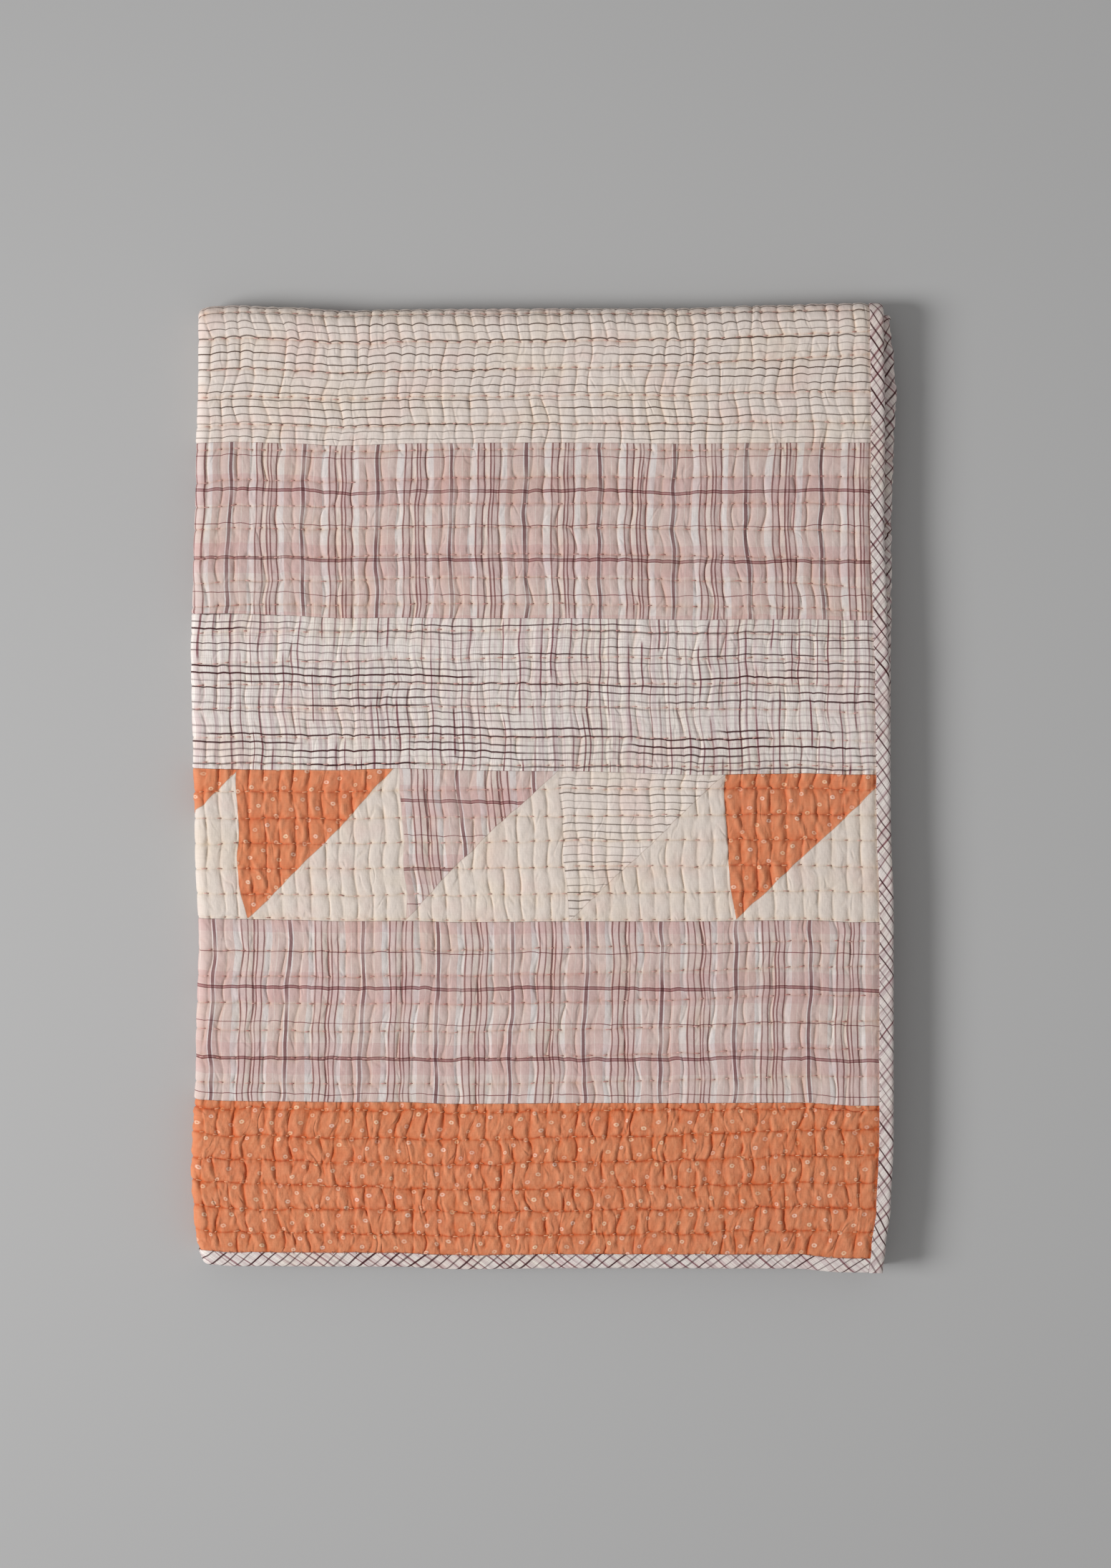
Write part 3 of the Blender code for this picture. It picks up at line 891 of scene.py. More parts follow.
@dataclass
class Patchwork:
    """A band of the quilt between two seams: a closed piece of patchwork, wadding and backing."""

    pile: Pile
    needlework: Needlework
    name: str
    start: float  # along the cloth
    end: float
    far: bool = False  # whether it lies in the lower half of the pile
    beside_seam: tuple[float, ...] = (0.12 * MM, 0.7 * MM, 1.6 * MM)  # the nearest stations
    least_step: float = 0.5 * MM  # between those and the rest
    seam_dip: float = 0.55 * MM
    seam_width: float = 0.9 * MM
    allowance: float = 0.0065  # turned-in edge under one side of a seam
    allowance_rise: float = 0.28 * MM
    allowance_slopes: tuple[float, float] = (2 * MM, 1.5 * MM)  # over which it rises and falls
    hidden_columns: int = 14
    backing_columns: int = 14  # of each layer, and of the doubled edge
    backing_bend: int = 11
    backing_rows: int = 8
    fold_rows: int = 25  # of the rounded fold, and how far from its middle they reach
    fold_reach: float = 0.045
    near_columns: tuple[float, ...] = (
        0.0, 0.05, 0.11, 0.19, 0.29, 0.42, 0.56, 0.70, 0.81, 0.89, 0.95,
    )
    near_steps: tuple[float, ...] = (
        0.0, 0.038, 0.085, 0.153, 0.246, 0.365, 0.5, 0.635, 0.754, 0.847, 0.915, 0.962,
    )
    far_columns: tuple[float, ...] = (0.0, 0.25, 0.5, 0.75)
    far_steps: tuple[float, ...] = (0.0, 0.1, 0.3, 0.5, 0.7, 0.9)

    @property
    def columns(self) -> Array:
        """The columns that divide its patchwork, the hidden ones first."""
        pile, work = self.pile, self.needlework
        inner = np.linspace(pile.edge_full, work.start, self.hidden_columns)[:-1]
        hidden = np.concatenate([[pile.edge_in, pile.edge_out], inner])
        bound = pile.cloth_width - np.array([pile.edge_out, pile.edge_in])
        parts = np.array(self.far_columns if self.far else self.near_columns)
        shown = (np.arange(work.columns)[:, None] + parts).ravel()
        ends = [work.columns, *((bound - work.start) / work.stitch_pitch)]
        return np.concatenate([(hidden - work.start) / work.stitch_pitch, shown, ends])

    @property
    def stations(self) -> Array:
        """The stations that divide its patchwork."""
        work = self.needlework
        steps = np.array(self.far_steps if self.far else self.near_steps)
        gaps = np.diff(work.stations)[:, None]
        inside = (work.stations[:-1, None] + gaps * steps).ravel()
        first, last = self.ends
        clear = (inside > first[-1] + self.least_step) & (inside < last[0] - self.least_step)
        return np.concatenate([first, inside[clear], last])

    @property
    def ends(self) -> tuple[Array, Array]:
        """The stations at its first end and at its last, by a seam or by the bound edge."""
        bound = np.array([self.pile.edge_in, self.pile.edge_out, self.pile.edge_full])
        seam = np.array(self.beside_seam)
        first = self.start + (bound if self.start == 0.0 else seam)
        last = self.end - (bound if self.end == self.pile.cloth_length else seam)[::-1]
        return first, last

    @property
    def backing_lines(self) -> tuple[Array, Array]:
        """The places across and along the cloth that divide its backing."""
        pile, count = self.pile, self.backing_columns
        sides = np.array([pile.edge_in, pile.edge_out, pile.edge_full])
        inner = np.linspace(pile.edge_full, pile.run_across, count)[1:]
        bend_end = pile.cloth_width - pile.run_across
        bend = np.linspace(pile.run_across, bend_end, self.backing_bend)[1:]
        outer = np.linspace(bend_end, pile.cloth_width - pile.edge_full, count)[1:]
        across = np.concatenate([sides, inner, bend, outer, pile.cloth_width - sides[1::-1]])
        first, last = self.ends
        from_fold = np.linspace(-self.fold_reach, self.fold_reach, self.fold_rows)
        near_fold = np.clip(pile.middle_station + from_fold, first[-1], last[0])
        even = np.linspace(first[-1], last[0], self.backing_rows)
        inside = np.unique(np.round(np.concatenate([even, near_fold]), 5))[1:-1]
        return across, np.concatenate([first, inside, last])

    def sewn(self, made: Surface, station: Array) -> Surface:
        """Adds the seams to its patchwork: a dip, and the turned-in edge beside it.

        Args:
            made: the points.
            station: their stations.

        Returns:
            The points, with their fabric mirrored where they lie underneath.
        """
        lift = made.lift
        rise, fall = self.allowance_slopes
        for end, way in ((self.start, 1.0), (self.end, -1.0)):
            if end in (0.0, self.pile.cloth_length):
                continue
            away = way * (station - end)
            lift = lift - self.seam_dip * np.exp(-((away / self.seam_width) ** 2))
            if (way > 0) != self.far:
                ridge = smooth(away / rise) * smooth((self.allowance - away) / fall)
                lift = lift + self.allowance_rise * ridge
        mirrored = made.fabric.copy()
        if self.far:
            mirrored[..., 1] = self.pile.cloth_length - mirrored[..., 1]
        return made._replace(lift=lift, fabric=mirrored)

    def build(self, materials: list[Material]) -> Object:
        """Makes the piece.

        Args:
            materials: the finishes of its patchwork and of its backing.

        Returns:
            The piece.
        """
        work = self.needlework
        made = ClothMesh(self.pile)
        columns, stations = self.columns, self.stations
        face = work.surface(columns[:, None], stations[None, :])
        patchwork = made.points(self.sewn(face, stations[None, :]))
        shown = np.interp(columns, (columns[0], 0.0, columns[-1]), (0.02, 0.10, 0.98))
        up = np.interp(stations, (stations[0], stations[-1]), (0.28, 0.98))
        made.grid(patchwork, np.stack(np.meshgrid(shown, up, indexing="ij"), -1))

        across, along = self.backing_lines
        flat_across, station = np.meshgrid(across, along, indexing="ij")
        flat_along = station + work.stray(flat_across, station)
        lift = -np.minimum(self.pile.layer / 2, self.pile.edge_loft(flat_across, flat_along))
        fabric = np.stack([flat_across, flat_along, np.zeros_like(lift)], -1)
        backing = made.points(Surface(flat_across, flat_along, lift, fabric))
        chart_x = np.interp(across, (across[0], across[-1]), (0.02, 0.98))
        chart_y = np.interp(along, (along[0], along[-1]), (0.02, 0.16))
        chart = np.stack(np.meshgrid(chart_x, chart_y, indexing="ij"), -1)
        made.grid(backing, chart, finish=1, turned=True)

        column_at = work.start + work.stitch_pitch * columns
        rims = (
            ((patchwork[:, 0], column_at), (backing[:, 0], across), True),
            ((patchwork[:, -1], column_at), (backing[:, -1], across), False),
            ((patchwork[0], stations), (backing[0], along), False),
            ((patchwork[-1], stations), (backing[-1], along), True),
        )
        for number, (first, second, turned) in enumerate(rims):
            strip = (0.18 + 0.02 * number, 0.195 + 0.02 * number)
            made.zipped(first, second, strip, finish=1, turned=turned)
        return made.build(self.name, materials)


@dataclass
class Stitching:
    """The threads that show: running stitch in its rows, and slip stitch along the binding."""

    pile: Pile
    needlework: Needlework
    sides: int = 5
    thread: float = 0.42 * MM  # radius
    flatness: float = 0.85  # a thread's height against its breadth
    parts: tuple[float, ...] = (-0.5, -0.33, 0.0, 0.33, 0.5)  # its sections along its length
    arch: tuple[float, ...] = (-0.45 * MM, 0.30 * MM, 0.42 * MM, 0.30 * MM, -0.45 * MM)
    taper: tuple[float, ...] = (0.55, 1.0, 1.05, 1.0, 0.55)
    point: float = 0.2 * MM  # length of a thread's pointed end
    missing: float = 0.02  # share of the stitches that are lost
    tilt: float = 0.35 * MM
    outward: float = 0.001  # how far off the cloth its outward direction is looked up
    grounds: tuple[float, ...] = (1.0, 0.5, 0.0, 0.5, 0.5, 0.3)  # of the bands, border first
    slip_ground: float = -1.0
    slip_pitch: float = 0.0098
    slip_thread: float = 0.24 * MM
    slip_inward: tuple[float, ...] = (0.0150, 0.0141, 0.0133, 0.0127, 0.0121)
    slip_lift: tuple[float, ...] = (0.0016, 0.0029, 0.0040, 0.0040, 0.0031)
    slip_inset: float = 0.020  # how far from a corner slip stitches begin
    slip_jitter: float = 0.0022
    slip_slant: tuple[float, float] = (1.2 * MM, 0.5 * MM)  # on average, and how much it varies
    seed: int = 5

    def tubes(self, middles: Array, raised: Array, radius: Array, tone: Array) -> ClothMesh:
        """Short threads, each a closed tube with pointed ends.

        Args:
            middles: points along each thread, threads by points by three.
            raised: the same points moved off the cloth, to tell which way is outward.
            radius: the radius of each thread.
            tone: two numbers of each for its finish, and room for a third.

        Returns:
            The mesh of the threads.
        """
        along = np.gradient(middles, axis=1)
        along /= np.linalg.norm(along, axis=-1, keepdims=True)
        outward = raised - middles
        outward -= (outward * along).sum(-1, keepdims=True) * along
        outward /= np.linalg.norm(outward, axis=-1, keepdims=True)
        aside = np.cross(along, outward)
        turn = 2 * np.pi * np.arange(self.sides) / self.sides
        upright = outward[:, :, None] * np.cos(turn)[:, None] * self.flatness
        ring = upright + aside[:, :, None] * np.sin(turn)[:, None]
        taper = np.array(self.taper)[None, :, None, None]
        rings = middles[:, :, None] + ring * radius[:, None, None, None] * taper
        made = ClothMesh(self.pile)
        count, steps = middles.shape[:2]
        colour = np.broadcast_to(tone[:, None, None, :], rings.shape).copy()
        # the third number is the share along the thread, by which its end is darkened as painted shade
        colour[..., 2] = np.linspace(0.0, 1.0, steps)[:, None]
        index = made.raw_points(rings, colour)
        point = self.point * along
        tips = np.stack([middles[:, 0] - point[:, 0], middles[:, -1] + point[:, -1]], 1)
        tip = made.raw_points(tips, colour[:, :: steps - 1, 0])

        cells = math.ceil(math.sqrt(count))  # of the flat chart, one for each thread
        corner = np.stack([np.arange(count) % cells, np.arange(count) // cells], -1) / cells
        square = np.array([[0, 0], [0, 1], [1, 1], [1, 0]])
        for step in range(steps - 1):
            for side in range(self.sides):
                after = (side + 1) % self.sides
                edges = (step, side), (step, after), (step + 1, after), (step + 1, side)
                faces = np.stack([index[:, i, j] for i, j in edges], -1)
                place = 0.1 + 0.75 * (square + (step, side)) / (steps, self.sides)
                made.polygons(faces, corner[:, None] + place[None] / cells)
        triangle = np.array([[0.9, 0.9], [0.93, 0.9], [0.93, 0.93]])
        for end, step, turned in ((0, 0, True), (1, steps - 1, False)):
            for side in range(self.sides):
                pair = [index[:, step, side], index[:, step, (side + 1) % self.sides]]
                pair = pair[::-1] if turned else pair
                faces = np.stack([tip[:, end], *pair], -1)
                made.polygons(faces, corner[:, None] + (triangle + 0.04 * end)[None] / cells)
        return made

    def running(self, rows: range) -> ClothMesh:
        """The running stitch of some rows.

        Args:
            rows: the rows, counted from the first that is sewn as 1.

        Returns:
            The mesh of its threads.
        """
        work = self.needlework
        row, line = np.meshgrid(np.array(rows), np.arange(work.columns + 1), indexing="ij")
        row, line = row.ravel(), line.ravel()
        draw = np.random.default_rng(self.seed)
        kept = (draw.random(len(row)) > self.missing) & (line > 0) & (line < work.columns)
        row, line = row[kept], line[kept]
        parts = np.array(self.parts)
        offset, length = (work.draws[name][row, line][:, None] for name in ("offset", "length"))
        away = offset + parts * length
        tilt = draw.normal(0.0, self.tilt, len(row))
        station = work.stations[row][:, None] + tilt[:, None] * parts
        face = work.surface(line[:, None] + away / work.stitch_pitch, station)
        lift = face.lift.mean(axis=1, keepdims=True) * 0.5 + face.lift * 0.5 + np.array(self.arch)
        middles = self.pile.folded(face.across, face.along, lift)
        raised = self.pile.folded(face.across, face.along, lift + self.outward)
        radius = self.thread * draw.uniform(0.8, 1.2, len(row))
        near = np.minimum(face.along[:, 2], self.pile.cloth_length - face.along[:, 2])
        ground = self.ground(face.across[:, 2], near)
        tone = np.stack([draw.random(len(row)), ground, np.zeros(len(row))], -1)
        return self.tubes(middles, raised, radius, tone)

    def slipped(self) -> ClothMesh:
        """The slip stitches that hold the binding's turned-in edge down on the top layer.

        Returns:
            The mesh of their threads.
        """
        pile, draw = self.pile, np.random.default_rng(self.seed + 1)
        across, along = [], []
        for on_side, begin, end in (
            (True, self.slip_inset, pile.middle_station),
            (False, pile.run_across, pile.cloth_width),
        ):
            run = np.arange(begin, end - self.slip_inset, self.slip_pitch)
            run = run + draw.uniform(-self.slip_jitter, self.slip_jitter, len(run))
            slant = draw.normal(*self.slip_slant, len(run))[:, None]
            run = run[:, None] + np.linspace(-0.5, 0.5, len(self.slip_inward)) * slant
            away = np.broadcast_to(self.slip_inward, run.shape)
            across.append(pile.cloth_width - away if on_side else run)
            along.append(run if on_side else away)
        over, up = np.concatenate(across), np.concatenate(along)
        lift = np.broadcast_to(self.slip_lift, over.shape)
        middles = pile.folded(over, up, lift)
        raised = pile.folded(over, up, lift + self.outward)
        ground = np.full(len(over), self.slip_ground)
        tone = np.stack([draw.random(len(over)), ground, np.zeros(len(over))], -1)
        radius = self.slip_thread * draw.uniform(0.8, 1.25, len(over))
        return self.tubes(middles, raised, radius, tone)

    def ground(self, across: Array, along: Array) -> Array:
        """What threads lie on.

        Args:
            across, along: their places, in the near half of the cloth.

        Returns:
            1 on orange, 0.5 on plaid and check, 0.3 on lined cream and 0 on plain cream.
        """
        seams = [seam.along for seam in SEAMS]
        of_band = np.array(self.grounds)[np.searchsorted(seams, along)]
        for fabric, kind in ((Fabric.DOTTED, 1.0), (Fabric.PLAID, 0.5), (Fabric.LINED, 0.3)):
            held = self.needlework.triangles.holds(across, along, fabric)
            of_band = np.where(held, kind, of_band)
        return of_band


class Edge(Enum):
    """The edges of the cloth, by the name of the solid that binds each."""

    OUTER = "binding_long_outer"
    INNER = "binding_long_inner"
    UPPER = "binding_short_upper"
    UNDER = "binding_short_under"


@dataclass
class Binding:
    """A bias strip folded over an edge of the cloth, with a turned-in edge on both sides."""

    pile: Pile
    edge: Edge
    width: float = 0.0133
    clearance: float = 0.0003
    step: float = 0.0028
    seeds: ClassVar[dict[Edge, float]] = {
        Edge.OUTER: 1.0, Edge.INNER: 2.3, Edge.UPPER: 3.1, Edge.UNDER: 4.4
    }  # where the unevenness of each strip starts
    ripple: float = 0.35 * MM
    body_ripple: float = 0.6  # share of the ripple that the middle of the strip has
    rolling: float = 0.09  # how much its thickness varies
    lengths: tuple[float, float, float] = (0.047, 0.083, 0.0193)  # of its unevenness
    calm_ends: float = 0.02
    roll: float = 0.004  # how far in the strip's rounded edge reaches
    hem: Span = (0.010, 0.013)  # where its turned-in edge starts to ripple
    pleat: float = 0.0180  # length of the folds where the strip is crushed
    pleat_wander: tuple[float, float] = (0.057, 0.023)
    crushed: float = 0.36  # how far from the rounded fold that reaches, along the cloth
    crush_fade: float = 0.1
    notch_in: float = 0.95 * MM
    notch_out: float = 1.3 * MM
    notch_thin: float = 0.32  # how much thinner the strip is in a notch
    dark_angle: float = -36.0  # threads of the check against the edge, in degrees
    pale_angle: float = 40.0
    inside_girth: float = 0.012
    cap_girth: float = 0.016
    outside: tuple[Span, ...] = (
        (0.01330, 0.00290), (0.01315, 0.00345), (0.01210, 0.00368), (0.00960, 0.00345),
        (0.00680, 0.00340), (0.00400, 0.00335), (0.00190, 0.00300), (0.00060, 0.00215),
        (0.0, 0.00100), (0.0, -0.00100), (0.00060, -0.00215), (0.00190, -0.00300),
        (0.00400, -0.00335), (0.00680, -0.00340), (0.00960, -0.00345), (0.01210, -0.00368),
        (0.01315, -0.00345), (0.01330, -0.00290),
    )  # its section: distance in from the edge, and lift off the cloth's middle
    inside: tuple[Span, ...] = (
        (0.0133, -0.0023), (0.0013, -0.0023), (0.0013, 0.0023), (0.0133, 0.0023),
    )

    @property
    def is_long(self) -> bool:
        """Whether it binds a long edge; then its ends are folded in, as at a corner."""
        return self.edge in (Edge.OUTER, Edge.INNER)

    @property
    def is_turned(self) -> bool:
        """Whether its faces look the other way."""
        return self.edge in (Edge.INNER, Edge.UNDER)

    @property
    def runs(self) -> Array:
        """Places of its sections along the edge."""
        pile = self.pile
        count = round(pile.cloth_length / self.step)
        if self.is_long:
            reach = pile.edge_in - self.clearance
            return np.linspace(reach, pile.cloth_length - reach, count)
        return np.linspace(pile.edge_out, pile.cloth_width - pile.edge_out, count * 2 // 3)

    def wavering(self, run: Array, more: float = 0.0) -> Array:
        """A gentle unevenness along the strip, from -1 to 1.

        Args:
            run: places along the edge.
            more: what is added to its start, for one that differs.

        Returns:
            The unevenness.
        """
        seed = self.seeds[self.edge] + more
        first, second, third = (2 * np.pi * run / length for length in self.lengths)
        slow = np.sin(first + seed) + 0.6 * np.sin(second + 2 * seed)
        return (slow + 0.7 * np.sin(third + 3 * seed)) / 2.3

    def notches(self, run: Array) -> Array:
        """How far the crushed strip inside the fold is drawn in.

        Args:
            run: places along the edge.

        Returns:
            1 in a notch, -1 between two, and 0 where the strip isn't crushed.
        """
        if self.edge is not Edge.INNER:
            return np.zeros_like(run)
        from_middle = np.abs(run - self.pile.middle_station)
        crushed = smooth((self.crushed - from_middle) / self.crush_fade)
        long, short = (2 * np.pi * run / length for length in self.pleat_wander)
        wander = 1.1 * np.sin(long) + 0.6 * np.sin(short + 1)
        lumps = np.abs(np.sin(np.pi * run / self.pleat + wander)) ** 0.6
        return crushed * (1 - 2 * lumps)

    def build(self, materials: list[Material]) -> Object:
        """Makes the piece.

        Args:
            materials: its finish.

        Returns:
            The piece.
        """
        made, runs = ClothMesh(self.pile), self.runs
        wrap = np.array(self.outside + self.inside)
        count = len(self.outside)
        inward, run = np.meshgrid(wrap[:, 0], runs, indexing="ij")
        lift = np.broadcast_to(wrap[:, 1][:, None], inward.shape)
        is_outside = (np.arange(len(wrap)) < count)[:, None]
        puff = 1 + self.rolling * self.wavering(run) * is_outside * smooth(inward / self.roll)
        rippled = self.body_ripple * is_outside + between(inward, *self.hem) * is_outside
        sway = self.ripple * self.wavering(run, more=5.0) * rippled
        ends = smooth((run - runs[0]) / self.calm_ends) * smooth((runs[-1] - run) / self.calm_ends)
        sway = sway * ends
        sway = np.where(is_outside & (inward < self.roll), np.minimum(sway, 0.0), sway)
        notch = self.notches(run) * is_outside
        drawn = np.where(notch > 0, self.notch_in, self.notch_out)
        sway = sway + drawn * notch * (1 - smooth(inward / self.width))
        puff = puff * (1 - self.notch_thin * np.clip(notch, 0.0, None))
        girth = np.concatenate([[0.0], np.cumsum(np.hypot(*np.diff(wrap[:count], axis=0).T))])
        inner_girth = np.linspace(0.0, self.inside_girth, len(self.inside))
        girth = np.concatenate([girth - girth[-1] / 2, inner_girth])
        across, along = self.to_cloth(inward + sway, run)
        fabric = self.on_fabric(girth[:, None], run)
        # notches count as hollows, which the finish darkens as painted shade
        fabric[..., 2] = np.clip(notch, 0.0, 1.0)
        index = made.points(Surface(across, along, lift * puff, fabric))
        ring = np.vstack([index, index[:1]])
        chart_x = np.linspace(0.02, 0.98, len(ring))
        chart_y = np.interp(runs, (runs[0], runs[-1]), (0.05, 0.95))
        chart = np.stack(np.meshgrid(chart_x, chart_y, indexing="ij"), -1)
        made.grid(ring, chart, turned=self.is_turned)
        self.close(made, index[:, 0], last=False)
        self.close(made, index[:, -1], last=True)
        return made.build("bias_" + self.edge.value, materials)

    def close(self, made: ClothMesh, section: Array, last: bool) -> None:
        """Closes one end of the strip: across its thickness, or with a cap that folds it in.

        Args:
            made: the mesh.
            section: numbers of the points of that end.
            last: whether it is the last end, and not the first.
        """
        way = slice(None) if self.is_turned != last else slice(None, None, -1)
        chart_y = 0.97 if last else 0.01
        count = len(self.outside)
        half = count // 2

        def face(corners: list[int]) -> None:
            """Adds one face, laid out beside the rest on the chart.

            Args:
                corners: numbers of its points.
            """
            spread = np.linspace(0.05, 0.95, len(corners))
            bent = chart_y + 0.02 * np.abs(np.sin(np.pi * spread))
            made.polygons(np.array(corners)[None, way], np.stack([spread, bent], -1)[None, way])

        inner = section[count:]
        if not self.is_long:
            face([*section[:half], inner[2], inner[3]])
            face([section[half - 1], section[half], inner[1], inner[2]])
            face([*section[half:count], inner[0], inner[1]])
            return
        profile = np.array(self.outside)
        cap_at = np.full(count, self.runs[0] + self.runs[-1] if last else 0.0)
        across, along = self.to_cloth(profile[:, 0], cap_at)
        fabric = self.on_fabric(np.linspace(-self.cap_girth, self.cap_girth, count), cap_at)
        cap = made.points(Surface(across, along, profile[:, 1], fabric))
        for i in range(count - 1):
            face([section[i], section[i + 1], cap[i + 1], cap[i]])
        face(list(cap))
        face([section[count - 1], *inner, section[0], cap[0], cap[-1]])

    def to_cloth(self, inward: Array, run: Array) -> tuple[Array, Array]:
        """Finds places on the cloth.

        Args:
            inward: their distance in from the edge.
            run: their places along it.

        Returns:
            The places across and along the cloth.
        """
        return {
            Edge.OUTER: (self.pile.cloth_width - inward, run),
            Edge.INNER: (inward, run),
            Edge.UPPER: (run, inward),
            Edge.UNDER: (run, self.pile.cloth_length - inward),
        }[self.edge]

    def on_fabric(self, girth: Array, run: Array) -> Array:
        """Args:
            girth: places round the strip.
            run: places along it.

        Returns:
            The places on the fabric, with no hollow.
        """
        dark, pale = math.radians(self.dark_angle), math.radians(self.pale_angle)
        along = girth * math.cos(dark) - run * math.sin(dark)
        across = girth * math.cos(pale) - run * math.sin(pale)
        return np.stack(np.broadcast_arrays(across, along, 0.0), -1)


Colour = tuple[float, float, float]


def operator(name: str, turned: bool = False) -> Callable[..., Value]:
    """Makes an operator of values, which adds a math node.

    Args:
        name: Blender's name for the operation.
        turned: whether the value is its second input.

    Returns:
        The method.
    """

    def apply(self: Value, *other: Given) -> Value:
        """The result."""
        return self.board.math(name, *((*other, self) if turned else (self, *other)))

    return apply


class Value:
    """A number or colour in a node tree, so that sums of them are written as plain sums."""

    __add__ = operator("ADD")
    __sub__ = operator("SUBTRACT")
    __rsub__ = operator("SUBTRACT", turned=True)
    __mul__ = operator("MULTIPLY")
    __truediv__ = operator("DIVIDE")
    __pow__ = operator("POWER")
    __abs__ = operator("ABSOLUTE")

    def __init__(self, board: Board, socket: NodeSocket) -> None:
        """Takes an output of one of the board's nodes."""
        self.board = board
        self.socket = socket

    def eased(self, start: Given, end: Given, low: float = 0.0, high: float = 1.0) -> Value:
        """Carries the value smoothly from low, where it is start, to high, where it is end."""
        inputs = {0: self, 1: start, 2: end, 3: low, 4: high}
        return self.board.result("ShaderNodeMapRange", inputs, interpolation_type="SMOOTHSTEP")


Given = Value | Colour | float


class Board:
    """A node tree while it is wired."""

    def __init__(self, tree: NodeTree) -> None:
        """Takes the tree to wire."""
        self.tree = tree

    def feed(self, socket: NodeSocket, given: Given) -> None:
        """Links a socket to a value, or sets it.

        Args:
            socket: the socket.
            given: the value, number or colour; a colour is given without its alpha.
        """
        if isinstance(given, Value):
            self.tree.links.new(given.socket, socket)
        else:
            socket.default_value = (*given, 1.0) if socket.type == "RGBA" else given

    def node(self, kind: str, inputs: dict[str | int, Given], **settings: object) -> list[Value]:
        """Adds a node.

        Args:
            kind: Blender's name for its type.
            inputs: what feeds its inputs, by their names or numbers.
            settings: its other properties.

        Returns:
            Its outputs.
        """
        made = self.tree.nodes.new(kind)
        for key, value in settings.items():
            setattr(made, key, value)
        for key, given in inputs.items():
            self.feed(made.inputs[key], given)
        return [Value(self, socket) for socket in made.outputs]

    def result(self, kind: str, inputs: dict[str | int, Given], **settings: object) -> Value:
        """Adds a node and returns its first output."""
        return self.node(kind, inputs, **settings)[0]

    def math(self, operation: str, *given: Given, clamp: bool = False) -> Value:
        """The result of a sum or other operation."""
        inputs = dict(enumerate(given))
        return self.result("ShaderNodeMath", inputs, operation=operation, use_clamp=clamp)

    def point(self, x: Given, y: Given, z: Given) -> Value:
        """A point from three values."""
        return self.result("ShaderNodeCombineXYZ", {0: x, 1: y, 2: z})

    def noise(
        self, x: Given, y: Given, z: Given = 0.0, detail: float = 2.0, rough: float = 0.5
    ) -> Value:
        """Smooth noise at a point that is already scaled, from 0 to 1."""
        inputs = {"Vector": self.point(x, y, z), "Scale": 1.0, "Detail": detail, "Roughness": rough}
        return self.result("ShaderNodeTexNoise", inputs)

    def chance(self, x: Given, y: Given, z: Given) -> Value:
        """An even random value for each point."""
        return self.result("ShaderNodeTexWhiteNoise", {"Vector": self.point(x, y, z)})

    def mix(self, share: Given, first: Given, second: Given, way: str = "MIX") -> Value:
        """A mix of two colours."""
        inputs = {0: share, 6: first, 7: second}
        return self.node("ShaderNodeMix", inputs, data_type="RGBA", blend_type=way)[2]

    def banded(self, share: Value, yarns: tuple[tuple[float, Colour], ...], repeat: float) -> Value:
        """The colour of the yarn at a place in a repeat.

        Args:
            share: the place, as a share of the repeat.
            yarns: where each yarn begins, and its colour.
            repeat: length of the repeat.

        Returns:
            The colour.
        """
        ramp = self.tree.nodes.new("ShaderNodeValToRGB")
        self.feed(ramp.inputs[0], share)
        ramp.color_ramp.interpolation = "CONSTANT"
        stops = ramp.color_ramp.elements
        stops.remove(stops[1])
        for number, (start, colour) in enumerate(yarns):
            stop = stops[0] if number == 0 else stops.new(start / repeat)
            stop.position = start / repeat
            stop.color = (*colour, 1.0)
        return Value(self, ramp.outputs[0])

    def call(self, group: NodeTree, inputs: dict[str, Given]) -> list[Value]:
        """Places a group, feeds its inputs by name, and returns its outputs."""
        return self.node("ShaderNodeGroup", inputs, node_tree=group)

    def stored(self) -> list[Value]:
        """The three numbers that the mesh stores for its finish at each point."""
        place = self.node("ShaderNodeAttribute", {}, attribute_name=STORED)[1]
        return self.node("ShaderNodeSeparateXYZ", {0: place})


PLACE: dict[str, Given] = {"Across": 0.0, "Along": 0.0}  # what most groups take first


class Effect(Board):
    """A shader node group with named inputs and outputs."""

    def __init__(self, name: str, inputs: dict[str, Given], outputs: tuple[str, ...]) -> None:
        """Makes the group.

        Args:
            name: the group's name.
            inputs: each input's name and value.
            outputs: each output's name; one that ends in Colour is a colour.
        """
        super().__init__(bpy.data.node_groups.new(name, "ShaderNodeTree"))
        sockets = self.tree.interface
        for label, value in inputs.items():
            coloured = isinstance(value, tuple)
            kind = "NodeSocketColor" if coloured else "NodeSocketFloat"
            socket = sockets.new_socket(label, in_out="INPUT", socket_type=kind)
            socket.default_value = (*value, 1.0) if coloured else value
        for label in outputs:
            kind = "NodeSocketColor" if label.endswith("Colour") else "NodeSocketFloat"
            sockets.new_socket(label, in_out="OUTPUT", socket_type=kind)
        entry = self.tree.nodes.new("NodeGroupInput")
        self.given = [Value(self, socket) for socket in entry.outputs][: len(inputs)]
        self.exits = self.tree.nodes.new("NodeGroupOutput").inputs

    def gives(self, *values: Value) -> NodeTree:
        """Feeds the group's outputs.

        Args:
            values: what feeds them, in their order.

        Returns:
            The group.
        """
        for socket, value in zip(self.exits, values):
            self.feed(socket, value)
        return self.tree


